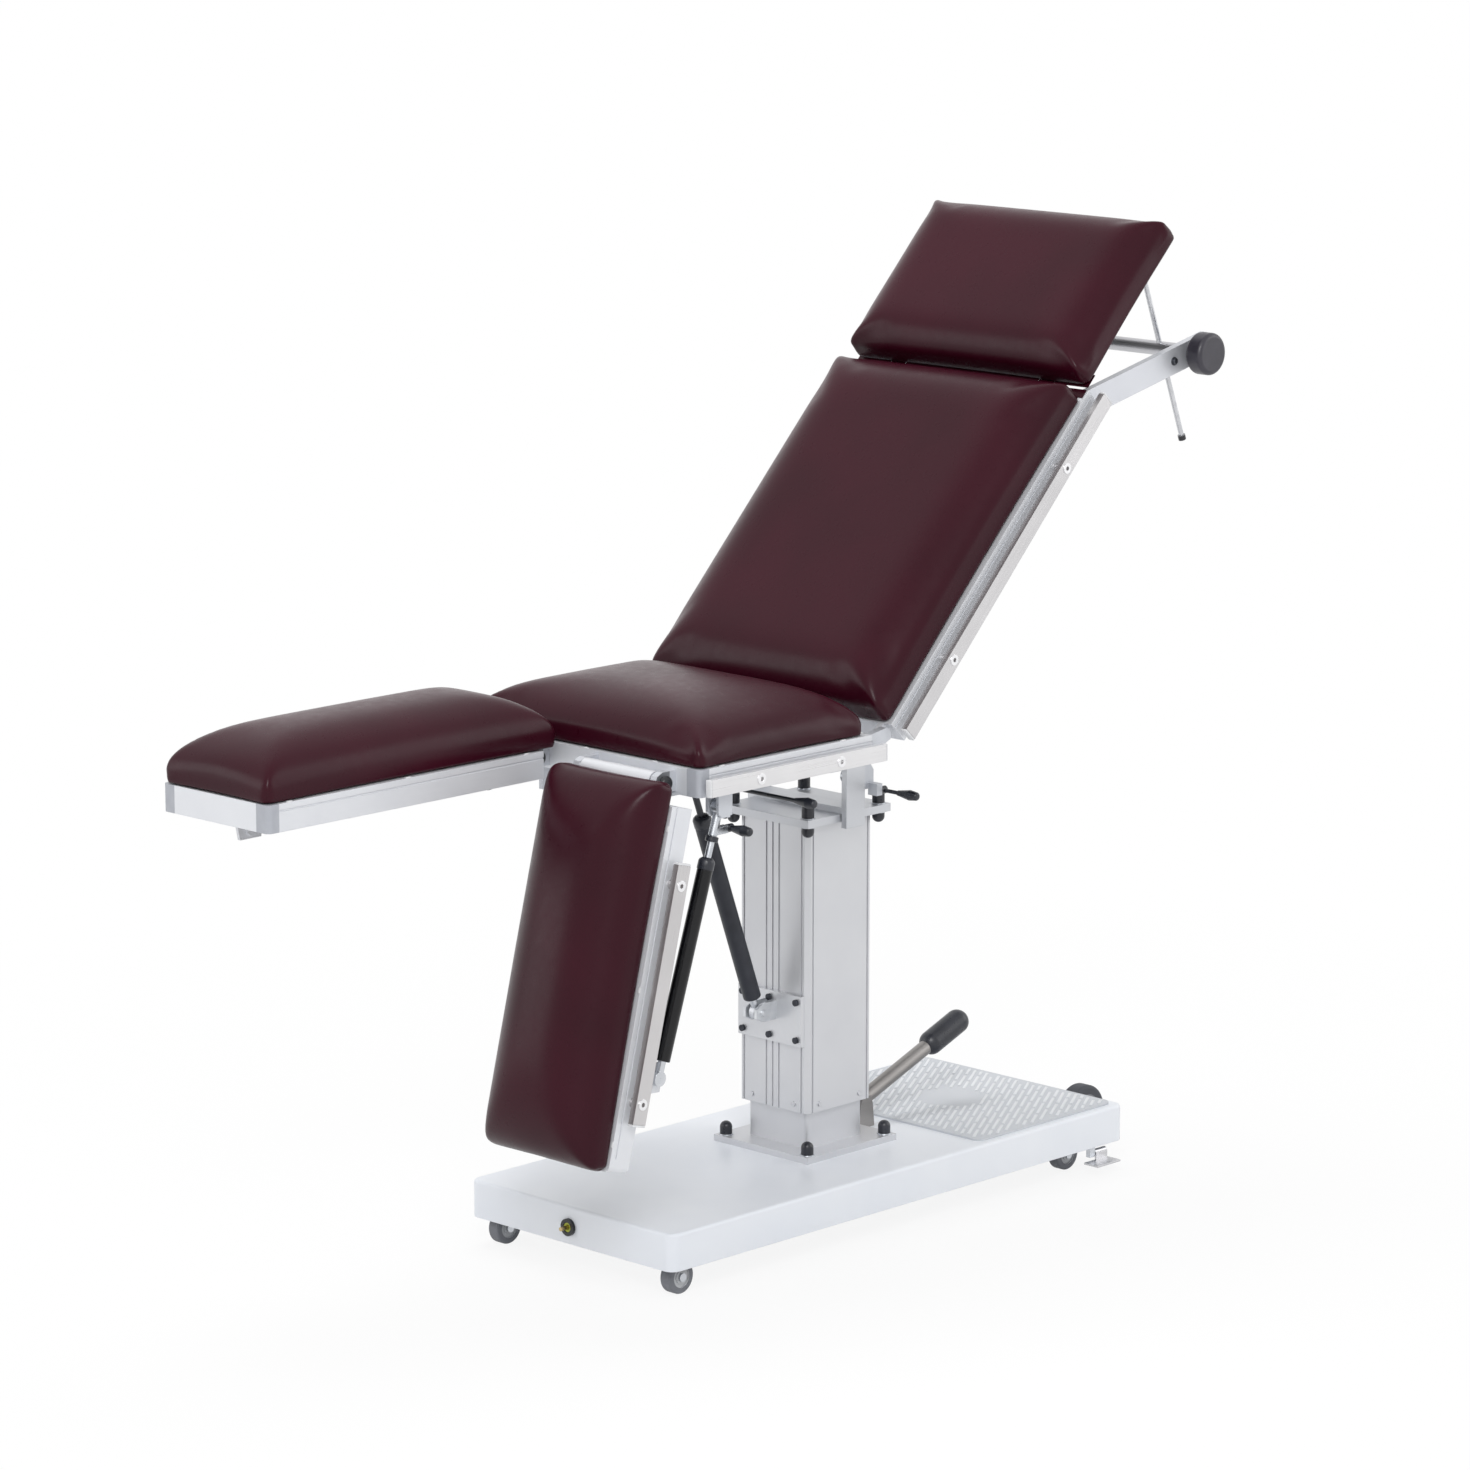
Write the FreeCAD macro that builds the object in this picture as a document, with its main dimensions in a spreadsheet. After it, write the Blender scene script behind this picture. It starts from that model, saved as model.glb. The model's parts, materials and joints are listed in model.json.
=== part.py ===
"""Split-leg operating table on a foot-pumped column, every separate piece, in millimetres.

Frame: the floor is z = 0, the column's axis is x = y = 0, +X points to the head end and +Z up.
The seat is drawn level. The back, the headrest and the legs are drawn flat and then swung about their hinges.
"""
import FreeCAD
import Part
import Sketcher
import math
import os
import re
from types import SimpleNamespace

DIMENSIONS = {
    # Base pan and what stands on it
    "base_length": 1000.0, "base_width": 424.0, "base_height": 57.0, "base_clearance": 44.0,
    "base_wall": 5.0, "base_corner": 16.0, "base_edge": 5.0,
    "beam_width": 60.0, "beam_height": 16.0, "beam_span": 400.0,
    "mat_start": 176.0, "mat_end": 488.0, "mat_width": 396.0, "mat_thickness": 3.0,
    "bond_height": 70.0, "bond_ring_radius": 13.0, "bond_hole_radius": 7.5, "bond_ring_depth": 5.0,
    "bond_pin_radius": 3.0, "bond_pin_length": 18.0,
    # Column
    "foot_plate": 196.0, "foot_plate_thickness": 10.0, "cap_spread": 85.0, "cap_radius": 9.5,
    "cap_height": 21.0, "cap_dome": 9.2,
    "inner_side": 122.0, "inner_wall": 6.0, "inner_top": 550.0, "inner_corner": 7.0,
    "outer_side": 143.0, "outer_wall": 8.5, "outer_bottom": 168.0, "outer_corner": 7.0,
    "groove_width": 3.0, "groove_depth": 2.0, "groove_step": 13.0, "bead_inset": 12.0,
    "top_plate": 180.0, "top_plate_bottom": 613.0, "top_plate_thickness": 12.0, "top_cap_spread": 77.0,
    "top_cap_height": 24.0, "under_cap_height": 17.0,
    "cylinder_radius": 35.0, "cylinder_top": 470.0, "ram_radius": 25.0, "ram_bottom": 175.0,
    "running_gap": 0.05,
    # Yoke and tilt axle
    "yoke_width": 40.0, "yoke_span": 204.0, "yoke_wall": 10.0, "yoke_bottom": 604.0, "yoke_top": 732.0,
    "axle_height": 712.0, "axle_radius": 8.0, "axle_length": 26.0,
    # Plate on the column for the tilt spring
    "clevis_plate_width": 131.0, "clevis_plate_height": 78.0, "clevis_plate_bottom": 272.0,
    "clevis_plate_thickness": 7.0, "clevis_x": -107.0, "clevis_z": 322.0,
    "lug_thickness": 5.0, "lug_gap": 18.0, "lug_reach": 14.0, "lug_clearance": 1.0,
    "screw_radius": 5.0, "screw_head": 4.0, "small_screw_radius": 4.0, "small_screw_head": 2.0,
    # Section frames, all from one hollow profile
    "frame_half": 240.0, "frame_bottom": 740.0, "frame_height": 40.0, "bar_width": 25.0,
    "slot_width": 2.5, "slot_depth": 1.5, "slot_drop": 9.0, "corner_length": 20.0,
    "seat_front": -472.0, "seat_rear": -114.0,
    # Side rails
    "rail_height": 25.0, "rail_thickness": 10.0, "rail_gap": 10.0, "rail_lift": 3.0,
    "seat_rail_start": -466.0, "seat_rail_end": -105.0, "seat_screw_front": -366.0, "seat_screw_rear": -200.0,
    "back_rail_start": -61.0, "back_rail_end": 563.0, "back_screw_low": 74.0, "back_screw_high": 431.0,
    "leg_rail_start": 108.0, "leg_rail_end": 478.0, "leg_screw_inset": 29.0,
    "collar_radius": 8.0, "spacer_radius": 7.0, "collar_depth": 1.2, "socket_radius": 3.6,
    "socket_depth": 5.0,
    # Legs
    "leg_hinge_x": -499.0, "leg_hinge_z": 760.0, "leg_start": 29.0, "leg_length": 522.0,
    "leg_width": 222.5, "near_leg_drop": 75.6, "barrel_radius": 15.0, "barrel_length": 140.0,
    "barrel_inset": 60.0, "leg_pin_radius": 8.0, "leg_lug_thickness": 12.0, "leg_lug_gap": 2.0,
    "leg_cap_radius": 11.0, "leg_cap_length": 12.0, "leg_web": 16.0,
    # Back
    "back_hinge_x": -80.0, "back_hinge_z": 775.0, "back_angle": 46.0, "back_start": -65.0,
    "back_length": 622.0, "back_pin_radius": 6.0, "back_lug_radius": 10.5, "back_lug_outer": 238.0,
    # Headrest and its fork
    "head_hinge_x": 566.0, "head_hinge_z": 770.0, "head_board_start": 584.0, "head_board_end": 846.0,
    "head_board_width": 400.0, "head_board_thickness": 12.0, "head_pin_radius": 4.0,
    "head_lug_side": 140.0, "head_lug_width": 12.0, "head_lug_radius": 7.5, "head_pin_overhang": 4.0,
    "knuckle_length": 40.0, "knuckle_drop": 4.0,
    "prop_lug_root": 20.0, "prop_lug_tip": 13.0, "prop_lug_drop": 12.0, "prop_lug_gap": 2.0,
    "arm_slope": 33.1, "arm_height": 40.0, "arm_thickness": 12.0, "arm_outer": 235.0, "arm_tip": 48.0,
    "arm_bend_high": 205.0, "arm_bend_low": 222.0, "arm_inset": 2.0,
    "bar_x": 755.0, "bar_z": 625.0, "cross_bar_radius": 11.0, "knob_radius": 32.5, "knob_depth": 30.0,
    "knob_hub_radius": 13.0, "knob_hub_depth": 10.0, "knob_round": 7.0,
    "prop_x": 813.0, "prop_z": 748.0, "prop_y": 172.0, "prop_radius": 4.0, "prop_length": 285.0,
    "prop_eye_radius": 8.0, "prop_eye_width": 8.0, "prop_cap_radius": 6.0, "prop_cap_length": 8.0,
    # Gas springs
    "spring_pin_radius": 5.0, "spring_eye_radius": 11.0, "spring_eye_width": 14.0, "spring_neck_radius": 6.6,
    "spring_neck_end": 42.0, "spring_rod_radius": 5.0, "spring_end_gap": 25.0, "spring_tail_radius": 6.0,
    "spring_tail_width": 10.0, "spring_neck_start": 4.0, "spring_rod_start": 10.0, "spring_round": 2.0,
    "spring_floor": 8.0, "spring_overlap": 1.0, "leg_bolt_radius": 9.0,
    "leg_spring_x": -417.0, "leg_spring_z": 718.0, "leg_spring_inset": 15.0, "leg_spring_radius": 11.5,
    "leg_spring_reach": 414.0, "leg_spring_drop": 63.0, "leg_spring_rod": 300.0,
    "leg_spring_start": 78.0,
    "tilt_spring_x": -255.0, "tilt_spring_z": 722.0, "tilt_spring_radius": 13.5, "tilt_spring_rod": 300.0,
    "tilt_spring_start": 90.0,
    "back_spring_x": 40.0, "back_spring_z": 668.0, "back_spring_y": -50.0, "back_spring_radius": 13.5,
    "back_spring_start": 182.0, "back_spring_rod": 268.0, "back_spring_far_x": 350.0,
    "back_spring_far_z": 702.0,
    # Tilt arms under the seat
    "arm_plate_inner": 80.0, "arm_plate_thickness": 8.0, "tilt_arm_drop": 22.0, "tilt_arm_depth": 34.0,
    "tilt_arm_step": 6.0, "tilt_arm_joint": -70.0, "tilt_arm_neck": -40.0, "tilt_arm_nose": 24.0,
    "tilt_arm_bevel": 10.0, "tilt_arm_inset": 2.0, "tie_margin": 10.0, "lug_flare": 6.0, "lever_mount": 18.0,
    # Release levers
    "lever_radius": 3.0, "lever_hub_radius": 6.0, "lever_hub_length": 12.0, "lever_gap": 0.6,
    "lever_tab_half": 5.4,
    "grip_thin": 4.0, "grip_thick": 8.0, "grip_tip": 6.0, "grip_length": 40.0, "grip_swell": 24.0,
    "grip_round": 4.0, "grip_cover": 10.0,
    "leg_lever_shift": 14.0, "leg_lever_drop": 34.0, "leg_tab_length": 22.0, "leg_lever_length": 44.0,
    "tilt_lever_shift": 22.0, "tilt_lever_y": -16.0, "tilt_lever_drop": 29.0, "tilt_lever_length": 218.0,
    "tilt_tab_length": 10.0, "tilt_tab_width": 15.0,
    "back_lever_x": 54.6, "back_lever_y": -100.0, "back_lever_z": 651.0, "back_lever_length": 72.0,
    # Foot pump lever
    "pump_x": 118.0, "pump_z": 137.0, "pump_angle": 21.0, "pump_tube_radius": 11.5, "pump_tube_length": 240.0,
    "pump_tube_start": 8.0, "pump_side_gap": 0.5,
    "pump_hub_radius": 13.0, "pump_hub_width": 24.0, "pump_pin_radius": 6.0, "pump_cheek": 6.0,
    "pump_cheek_reach": 17.0, "pump_grip_radius": 19.0, "pump_grip_start": 160.0, "pump_grip_length": 100.0,
    "pump_grip_round": 18.4,
    # Castors
    "wheel_radius": 25.0, "wheel_width": 20.0, "wheel_round": 3.0, "wheel_pin_radius": 4.0,
    "wheel_hub": 10.0, "wheel_rim": 15.0, "wheel_groove": 2.0, "axle_head_radius": 6.5, "axle_head": 2.0,
    "fork_gap": 1.5, "fork_cheek": 3.0, "fork_half_length": 14.0, "fork_top": 54.0, "stem_radius": 8.0,
    "front_wheel_x": -459.0, "front_wheel_y": 180.0,
    "rear_swivel_x": 405.0, "rear_wheel_x": 423.0, "rear_wheel_y": 153.0,
    "pedal_length": 54.0, "pedal_depth": 28.0, "pedal_sheet": 3.0, "pedal_height": 19.0,
    "pedal_start": 412.0, "pedal_pin_radius": 3.0, "pedal_sleeve_radius": 5.0, "pedal_pin_y": 203.0,
    "pedal_pin_z": 33.0, "pedal_sleeve": 26.0,
    "pedal_bracket_x": 425.0, "pedal_bracket_length": 12.0, "pedal_bracket_width": 8.0,
    "pedal_bracket_height": 40.0,
    "roller_x": 576.0, "roller_y": -57.0, "roller_radius": 44.0, "roller_width": 28.0, "roller_round": 6.0,
    "roller_plate": 6.0, "roller_plate_gap": 3.0, "roller_lug": 20.0, "roller_arm_rise": 16.0,
    "roller_pan_gap": 2.0, "roller_wall_gap": 8.0, "roller_foot": 25.0, "roller_step": 15.0,
    "roller_drop": 12.0,
    "roller_hub": 17.0, "roller_rim": 29.0,
    # Cushions
    "seat_edge": 36.0, "seat_crown": 82.0, "back_edge": 48.0, "back_crown": 76.0,
    "head_edge": 44.0, "head_crown": 66.0, "leg_edge": 36.0, "leg_crown": 88.0, "cushion_draw": 4.0,
    "cushion_shoulder": 16.0, "cushion_swell": 3.0, "cushion_inset": 1.0,
    "cushion_round": 70.0, "cushion_corner": 12.0, "cushion_end_share": 0.5, "cushion_end_pull": 8.0,
    "seat_cushion_start": -470.0, "seat_cushion_end": -124.0,
    "back_cushion_start": -67.0, "back_cushion_end": 545.0, "head_cushion_start": 562.0,
    "head_cushion_end": 860.0,
    "leg_cushion_start": -4.0, "leg_cushion_end": 553.0,
}
D = SimpleNamespace(**DIMENSIONS)
WORD = re.compile(r"[A-Za-z_]+[A-Za-z_0-9]*")

doc = FreeCAD.newDocument("operating_table")
sheet = doc.addObject("Spreadsheet::Sheet", "Dims")
for row, (alias, value) in enumerate(DIMENSIONS.items(), start=1):
    sheet.set(f"A{row}", alias)
    sheet.set(f"B{row}", str(value))
    sheet.setAlias(f"B{row}", alias)
doc.recompute()

SUB_PARTS = []
AXIS_TURN = {
    "x": FreeCAD.Rotation(FreeCAD.Vector(0, 1, 0), 90),
    "y": FreeCAD.Rotation(FreeCAD.Vector(1, 0, 0), -90),
    "z": FreeCAD.Rotation(),
}


# Helpers

def formula(text):
    """An expression in which every driving dimension is read from the sheet."""
    def from_sheet(word):
        name = word.group()
        return f"Dims.{name}" if name in DIMENSIONS else name

    return WORD.sub(from_sheet, str(text))


def bind(obj, **sizes):
    for name, text in sizes.items():
        obj.setExpression(name, formula(text))


def bind_base(obj, x, y, z):
    for axis, text in zip("xyz", (x, y, z)):
        obj.setExpression(f"Placement.Base.{axis}", formula(text))


def block(length, width, height, x, y, z):
    box = doc.addObject("Part::Box", "block")
    bind(box, Length=length, Width=width, Height=height)
    bind_base(box, x, y, z)
    return box


def round_bar(radius, length, x, y, z, axis="z"):
    bar = doc.addObject("Part::Cylinder", "round_bar")
    bar.Placement = FreeCAD.Placement(FreeCAD.Vector(), AXIS_TURN[axis])
    bind(bar, Radius=radius, Height=length)
    bind_base(bar, x, y, z)
    return bar


def hex_bar(radius, length, x, y, z, axis):
    prism = doc.addObject("Part::Prism", "hex_bar")
    prism.Polygon = 6
    prism.Placement = FreeCAD.Placement(FreeCAD.Vector(), AXIS_TURN[axis])
    bind(prism, Circumradius=radius, Height=length)
    bind_base(prism, x, y, z)
    return prism


def taper(start_radius, end_radius, length, x, y, z, turn):
    cone = doc.addObject("Part::Cone", "taper")
    cone.Placement = FreeCAD.Placement(FreeCAD.Vector(), turn)
    bind(cone, Radius1=start_radius, Radius2=end_radius, Height=length)
    bind_base(cone, x, y, z)
    return cone


def fuse(*pieces):
    joined = doc.addObject("Part::MultiFuse", "joined")
    joined.Shapes = list(pieces)
    return joined


def cut(base, tool):
    left = doc.addObject("Part::Cut", "left")
    left.Base = base
    left.Tool = tool
    return left


def group(*pieces):
    """Separate solids that share one node."""
    together = doc.addObject("Part::Compound", "together")
    together.Links = list(pieces)
    return together


def rounded(base, radius, wanted):
    """Rounds the edges of a piece that the test picks by their middle point and direction."""
    doc.recompute()
    numbers = []
    for number, edge in enumerate(base.Shape.Edges, start=1):
        middle = edge.valueAt((edge.FirstParameter + edge.LastParameter) / 2)
        if wanted(edge, middle):
            numbers.append((number, radius, radius))
    soft = doc.addObject("Part::Fillet", "soft")
    soft.Base = base
    soft.Edges = numbers
    return soft


def is_upright(edge, middle):
    start, end = edge.Vertexes[0].Point, edge.Vertexes[-1].Point
    return abs(start.z - end.z) > 1.0 and abs(start.x - end.x) < 0.01 and abs(start.y - end.y) < 0.01


def is_ring(edge, middle):
    return len(edge.Vertexes) == 1


def outline_plate(points, plane, thickness, offset):
    """A body padded from a closed outline drawn on one of its origin planes."""
    body = doc.addObject("PartDesign::Body", "plate")
    sketch = body.newObject("Sketcher::SketchObject", "outline")
    origin_plane = next(f for f in body.Origin.OriginFeatures if f.Role == plane)
    sketch.AttachmentSupport = [(origin_plane, "")]
    sketch.MapMode = "FlatFace"
    for start, end in zip(points, points[1:] + points[:1]):
        line = Part.LineSegment(FreeCAD.Vector(*start, 0), FreeCAD.Vector(*end, 0))
        sketch.addGeometry(line, False)
    pad = body.newObject("PartDesign::Pad", "thickness")
    pad.Profile = sketch
    bind(pad, Length=thickness)
    along = {"XY_Plane": "z", "XZ_Plane": "y", "YZ_Plane": "x"}[plane]
    pad.Reversed = plane == "XZ_Plane"
    body.setExpression(f"Placement.Base.{along}", formula(offset))
    doc.recompute()
    return body


def square_plate(side, thickness, z):
    """A square plate whose sketch is held by constraints on the sheet."""
    body = doc.addObject("PartDesign::Body", "square_plate")
    sketch = body.newObject("Sketcher::SketchObject", "square")
    sketch.AttachmentSupport = [(next(f for f in body.Origin.OriginFeatures if f.Role == "XY_Plane"), "")]
    sketch.MapMode = "FlatFace"
    half = 50.0
    corners = [(-half, -half), (half, -half), (half, half), (-half, half)]
    for start, end in zip(corners, corners[1:] + corners[:1]):
        sketch.addGeometry(Part.LineSegment(FreeCAD.Vector(*start, 0), FreeCAD.Vector(*end, 0)), False)
    for line in range(4):
        sketch.addConstraint(Sketcher.Constraint("Coincident", line, 2, (line + 1) % 4, 1))
        sketch.addConstraint(Sketcher.Constraint("Vertical" if line % 2 else "Horizontal", line))
    sketch.addConstraint(Sketcher.Constraint("Symmetric", 0, 1, 1, 2, -1, 1))
    for line, kind in ((0, "DistanceX"), (1, "DistanceY")):
        number = sketch.addConstraint(Sketcher.Constraint(kind, line, 1, line, 2, 2 * half))
        sketch.setExpression(f"Constraints[{number}]", formula(side))
    pad = body.newObject("PartDesign::Pad", "thickness")
    pad.Profile = sketch
    bind(pad, Length=thickness)
    body.setExpression("Placement.Base.z", formula(z))
    doc.recompute()
    return body


def node(label, obj):
    """Names a finished sub-part."""
    obj.Label = label
    SUB_PARTS.append(obj)
    return obj


def swing(obj, hinge_x, hinge_z, degrees):
    """Turns a piece that was drawn flat about a hinge line along Y; positive lifts its head side."""
    turn = FreeCAD.Rotation(FreeCAD.Vector(0, -1, 0), degrees)
    hinge = FreeCAD.Vector(hinge_x, 0, hinge_z)
    obj.Placement = FreeCAD.Placement(hinge - turn.multVec(hinge), turn)


def swing_back(obj):
    swing(obj, D.back_hinge_x, D.back_hinge_z, D.back_angle)


def swung_point(x, z, hinge_x, hinge_z, degrees):
    across, up = math.cos(math.radians(degrees)), math.sin(math.radians(degrees))
    dx, dz = x - hinge_x, z - hinge_z
    return (hinge_x + dx * across - dz * up, hinge_z + dx * up + dz * across)


def rounded_box(side_x, side_y, height, x, y, z, corner):
    return rounded(block(side_x, side_y, height, x, y, z), corner, is_upright)


def domed_cap(radius, height, dome, x, y, z):
    """A cap nut; a negative height hangs it under its plate."""
    base_z = z if height > 0 else f"{z} - {-height}"
    cap = round_bar(radius, abs(height), x, y, base_z)
    doc.recompute()
    rims = sorted(edge.BoundBox.Center.z for edge in cap.Shape.Edges if is_ring(edge, None))
    domed_z = rims[-1] if height > 0 else rims[0]
    return rounded(cap, dome, lambda edge, middle: is_ring(edge, middle) and abs(middle.z - domed_z) < 0.1)


def wheel(radius, width, soft_radius, x, y, hub, rim):
    """A wheel that stands on the floor, with a running bore for its axle and a groove between hub and rim."""
    disc = round_bar(radius, width, x, f"{y} - {width} / 2", radius, "y")
    soft = rounded(disc, soft_radius, is_ring)
    tools = [round_bar("wheel_pin_radius + running_gap", f"2 * {width}", x, f"{y} - {width}", radius, "y")]
    for start in (f"{y} - {width} / 2 - wheel_groove", f"{y} + {width} / 2 - wheel_groove"):
        tools.append(cut(round_bar(rim, "2 * wheel_groove", x, start, radius, "y"),
                         round_bar(hub, "2 * wheel_groove", x, start, radius, "y")))
    return cut(soft, fuse(*tools))


# Base

BASE_TOP = "base_clearance + base_height"
FOOT_TOP = "base_clearance + base_height + foot_plate_thickness"
BEAM_LOW = "base_clearance + base_height - base_wall - beam_height"


def base_pan():
    outer = rounded_box("base_length", "base_width", "base_height", "-base_length / 2", "-base_width / 2",
                        "base_clearance", D.base_corner)
    doc.recompute()
    top = D.base_clearance + D.base_height
    shell = rounded(outer, D.base_edge, lambda edge, middle: abs(middle.z - top) < 0.01)
    length, width = "base_length - 2 * base_wall", "base_width - 2 * base_wall"
    hollow = rounded_box(length, width, "base_height - base_wall", f"-({length}) / 2", f"-({width}) / 2",
                         "base_clearance", D.base_corner - D.base_wall)
    node("base_pan", cut(shell, hollow))


def base_beams():
    beams = []
    for centre in ("front_wheel_x", "rear_swivel_x"):
        beams.append(block("beam_width", "beam_span", "beam_height", f"{centre} - beam_width / 2",
                           "-beam_span / 2", BEAM_LOW))
    node("base_beams", group(*beams))


def tread_mat():
    mat = rounded_box("mat_end - mat_start", "mat_width", "mat_thickness", "mat_start", "-mat_width / 2",
                      BASE_TOP, D.base_corner)
    node("tread_mat", mat)


def bonding_pin():
    """A ring round a pin on the foot-end wall of the pan."""
    face, z = "-base_length / 2", "bond_height"
    rim = round_bar("bond_ring_radius", "bond_ring_depth", f"{face} - bond_ring_depth", 0, z, "x")
    hole = round_bar("bond_hole_radius", "3 * bond_ring_depth", f"{face} - 2 * bond_ring_depth", 0, z, "x")
    pin = round_bar("bond_pin_radius", "bond_pin_length", f"{face} - bond_pin_length", 0, z, "x")
    node("bonding_pin", group(cut(rim, hole), pin))


def column_inner():
    plate = square_plate("foot_plate", "foot_plate_thickness", BASE_TOP)
    corner = "-inner_side / 2"
    tube = rounded_box("inner_side", "inner_side", f"inner_top - ({FOOT_TOP})", corner, corner, FOOT_TOP,
                       D.inner_corner)
    inside = "inner_side - 2 * inner_wall"
    bore = block(inside, inside, "inner_top", f"-({inside}) / 2", f"-({inside}) / 2", FOOT_TOP)
    node("column_inner", fuse(plate, cut(tube, bore)))


def cap_nuts():
    foot, top = [], []
    foot_top = D.base_clearance + D.base_height + D.foot_plate_thickness
    plate_top = D.top_plate_bottom + D.top_plate_thickness
    for side_x in (-1, 1):
        for side_y in (-1, 1):
            foot.append(domed_cap("cap_radius", D.cap_height, D.cap_dome, f"{side_x} * cap_spread",
                                  f"{side_y} * cap_spread", foot_top))
            for height, z in ((D.top_cap_height, plate_top), (-D.under_cap_height, D.top_plate_bottom)):
                top.append(domed_cap("cap_radius", height, D.cap_dome, f"{side_x} * top_cap_spread",
                                     f"{side_y} * top_cap_spread", z))
    node("foot_cap_nuts", group(*foot))
    node("top_cap_nuts", group(*top))


def lift_cylinder():
    barrel = round_bar("cylinder_radius", f"cylinder_top - ({FOOT_TOP})", 0, 0, FOOT_TOP)
    bore = round_bar("ram_radius + running_gap", "cylinder_top", 0, 0, f"{FOOT_TOP} + base_wall")
    node("lift_cylinder", cut(barrel, bore))
    node("lift_ram", round_bar("ram_radius", "top_plate_bottom - ram_bottom", 0, 0, "ram_bottom"))


# Lifting column head

def groove_outline(half):
    """One side of the extrusion after another: corner, beads, three middle grooves, corner."""
    corner_marks = [-(half - D.bead_inset), half - D.bead_inset]
    middle_marks = [-D.groove_step, 0.0, D.groove_step]
    points = []
    for quarter in range(4):
        marks = corner_marks if quarter % 2 == 0 else sorted(corner_marks + middle_marks)
        side = [(-half + D.outer_corner, -half)]
        for mark in marks:
            left, right = mark - D.groove_width / 2, mark + D.groove_width / 2
            deep = -half + D.groove_depth
            side += [(left, -half), (left, deep), (right, deep), (right, -half)]
        side.append((half - D.outer_corner, -half))
        for x, y in side:
            for _ in range(quarter):
                x, y = -y, x
            points.append((x, y))
    return points


def column_outer():
    height = "top_plate_bottom - outer_bottom"
    skin = outline_plate(groove_outline(D.outer_side / 2), "XY_Plane", height, "outer_bottom")
    inside = "outer_side - 2 * outer_wall"
    corner = "outer_wall - outer_side / 2"
    bore = block(inside, inside, "2 * top_plate_bottom", corner, corner, 0)
    node("column_outer", cut(skin, bore))
    node("top_plate", square_plate("top_plate", "top_plate_thickness", "top_plate_bottom"))


def yoke():
    half, wall = D.yoke_span / 2, D.yoke_wall
    plate_top = D.top_plate_bottom + D.top_plate_thickness
    outline = [(-half, D.yoke_bottom), (-half + wall, D.yoke_bottom), (-half + wall, plate_top),
               (half - wall, plate_top), (half - wall, D.yoke_bottom), (half, D.yoke_bottom),
               (half, D.yoke_top), (half - wall, D.yoke_top), (half - wall, plate_top + wall),
               (-half + wall, plate_top + wall), (-half + wall, D.yoke_top), (-half, D.yoke_top)]
    strap = outline_plate(outline, "YZ_Plane", "yoke_width", "-yoke_width / 2")
    pins = [round_bar("axle_radius", "axle_length", 0, start, "axle_height", "y")
            for start in ("-yoke_span / 2", "yoke_span / 2 - axle_length")]
    node("yoke", fuse(strap, *pins))


def tilt_clevis_plate():
    face = -D.outer_side / 2
    plate = block("clevis_plate_thickness", "clevis_plate_width", "clevis_plate_height",
                  "-outer_side / 2 - clevis_plate_thickness", "-clevis_plate_width / 2",
                  "clevis_plate_bottom")
    outer = face - D.clevis_plate_thickness
    tip = D.clevis_x - D.lug_reach
    outline = [(outer, D.clevis_z - D.lug_reach), (outer, D.clevis_z + D.lug_reach),
               (D.clevis_x, D.clevis_z + D.lug_reach), (tip, D.clevis_z + D.lug_reach / 2),
               (tip, D.clevis_z - D.lug_reach / 2), (D.clevis_x, D.clevis_z - D.lug_reach)]
    lugs = [outline_plate(outline, "XZ_Plane", "lug_thickness", offset)
            for offset in ("lug_gap / 2", "-lug_gap / 2 - lug_thickness")]
    heads = [round_bar("spring_pin_radius", "lug_thickness", "clevis_x", start, "clevis_z", "y")
             for start in ("lug_gap / 2 + lug_thickness", "-lug_gap / 2 - 2 * lug_thickness")]
    node("tilt_clevis_plate", fuse(plate, *lugs, *heads))


def column_screws():
    """Socket screws of the clevis plate and the guide screws above the lower edge of the sliding tube."""
    screws = []
    plate_face = "-outer_side / 2 - clevis_plate_thickness - screw_head"
    low, high = "clevis_plate_bottom", "clevis_plate_bottom + clevis_plate_height"
    for row in (f"{low} + 2 * screw_radius", f"{high} - 2 * screw_radius"):
        for column in (-1, 0, 1):
            y = f"{column} * (clevis_plate_width / 2 - 2 * screw_radius)"
            screws.append(round_bar("screw_radius", "screw_head", plate_face, y, row, "x"))
    size = ("small_screw_radius", "small_screw_head")
    height = "outer_bottom + 3 * small_screw_radius"
    for side in (-1, 1):
        aside = f"{side} * (outer_side / 2 - 7 * small_screw_radius)"
        for face in ("-outer_side / 2 - small_screw_head", "outer_side / 2"):
            screws.append(round_bar(*size, face, aside, height, "x"))
            screws.append(round_bar(*size, aside, face, height, "y"))
    node("column_screws", group(*screws))


# Section frames and rails

def side_bar(start, end, outer, facing):
    """A bar along X whose outer face, at y = outer, has the profile's slot; facing is the outward sign."""
    inner = f"{outer} - bar_width" if facing > 0 else outer
    bar = block(f"({end}) - ({start})", "bar_width", "frame_height", start, inner, "frame_bottom")
    slot = block(f"({end}) - ({start})", "2 * slot_depth", "slot_width", start, f"{outer} - slot_depth",
                 "frame_bottom + frame_height - slot_drop - slot_width")
    return cut(bar, slot)


def cross_bar(x, low, high):
    return block("bar_width", f"({high}) - ({low})", "frame_height", x, low, "frame_bottom")


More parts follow.
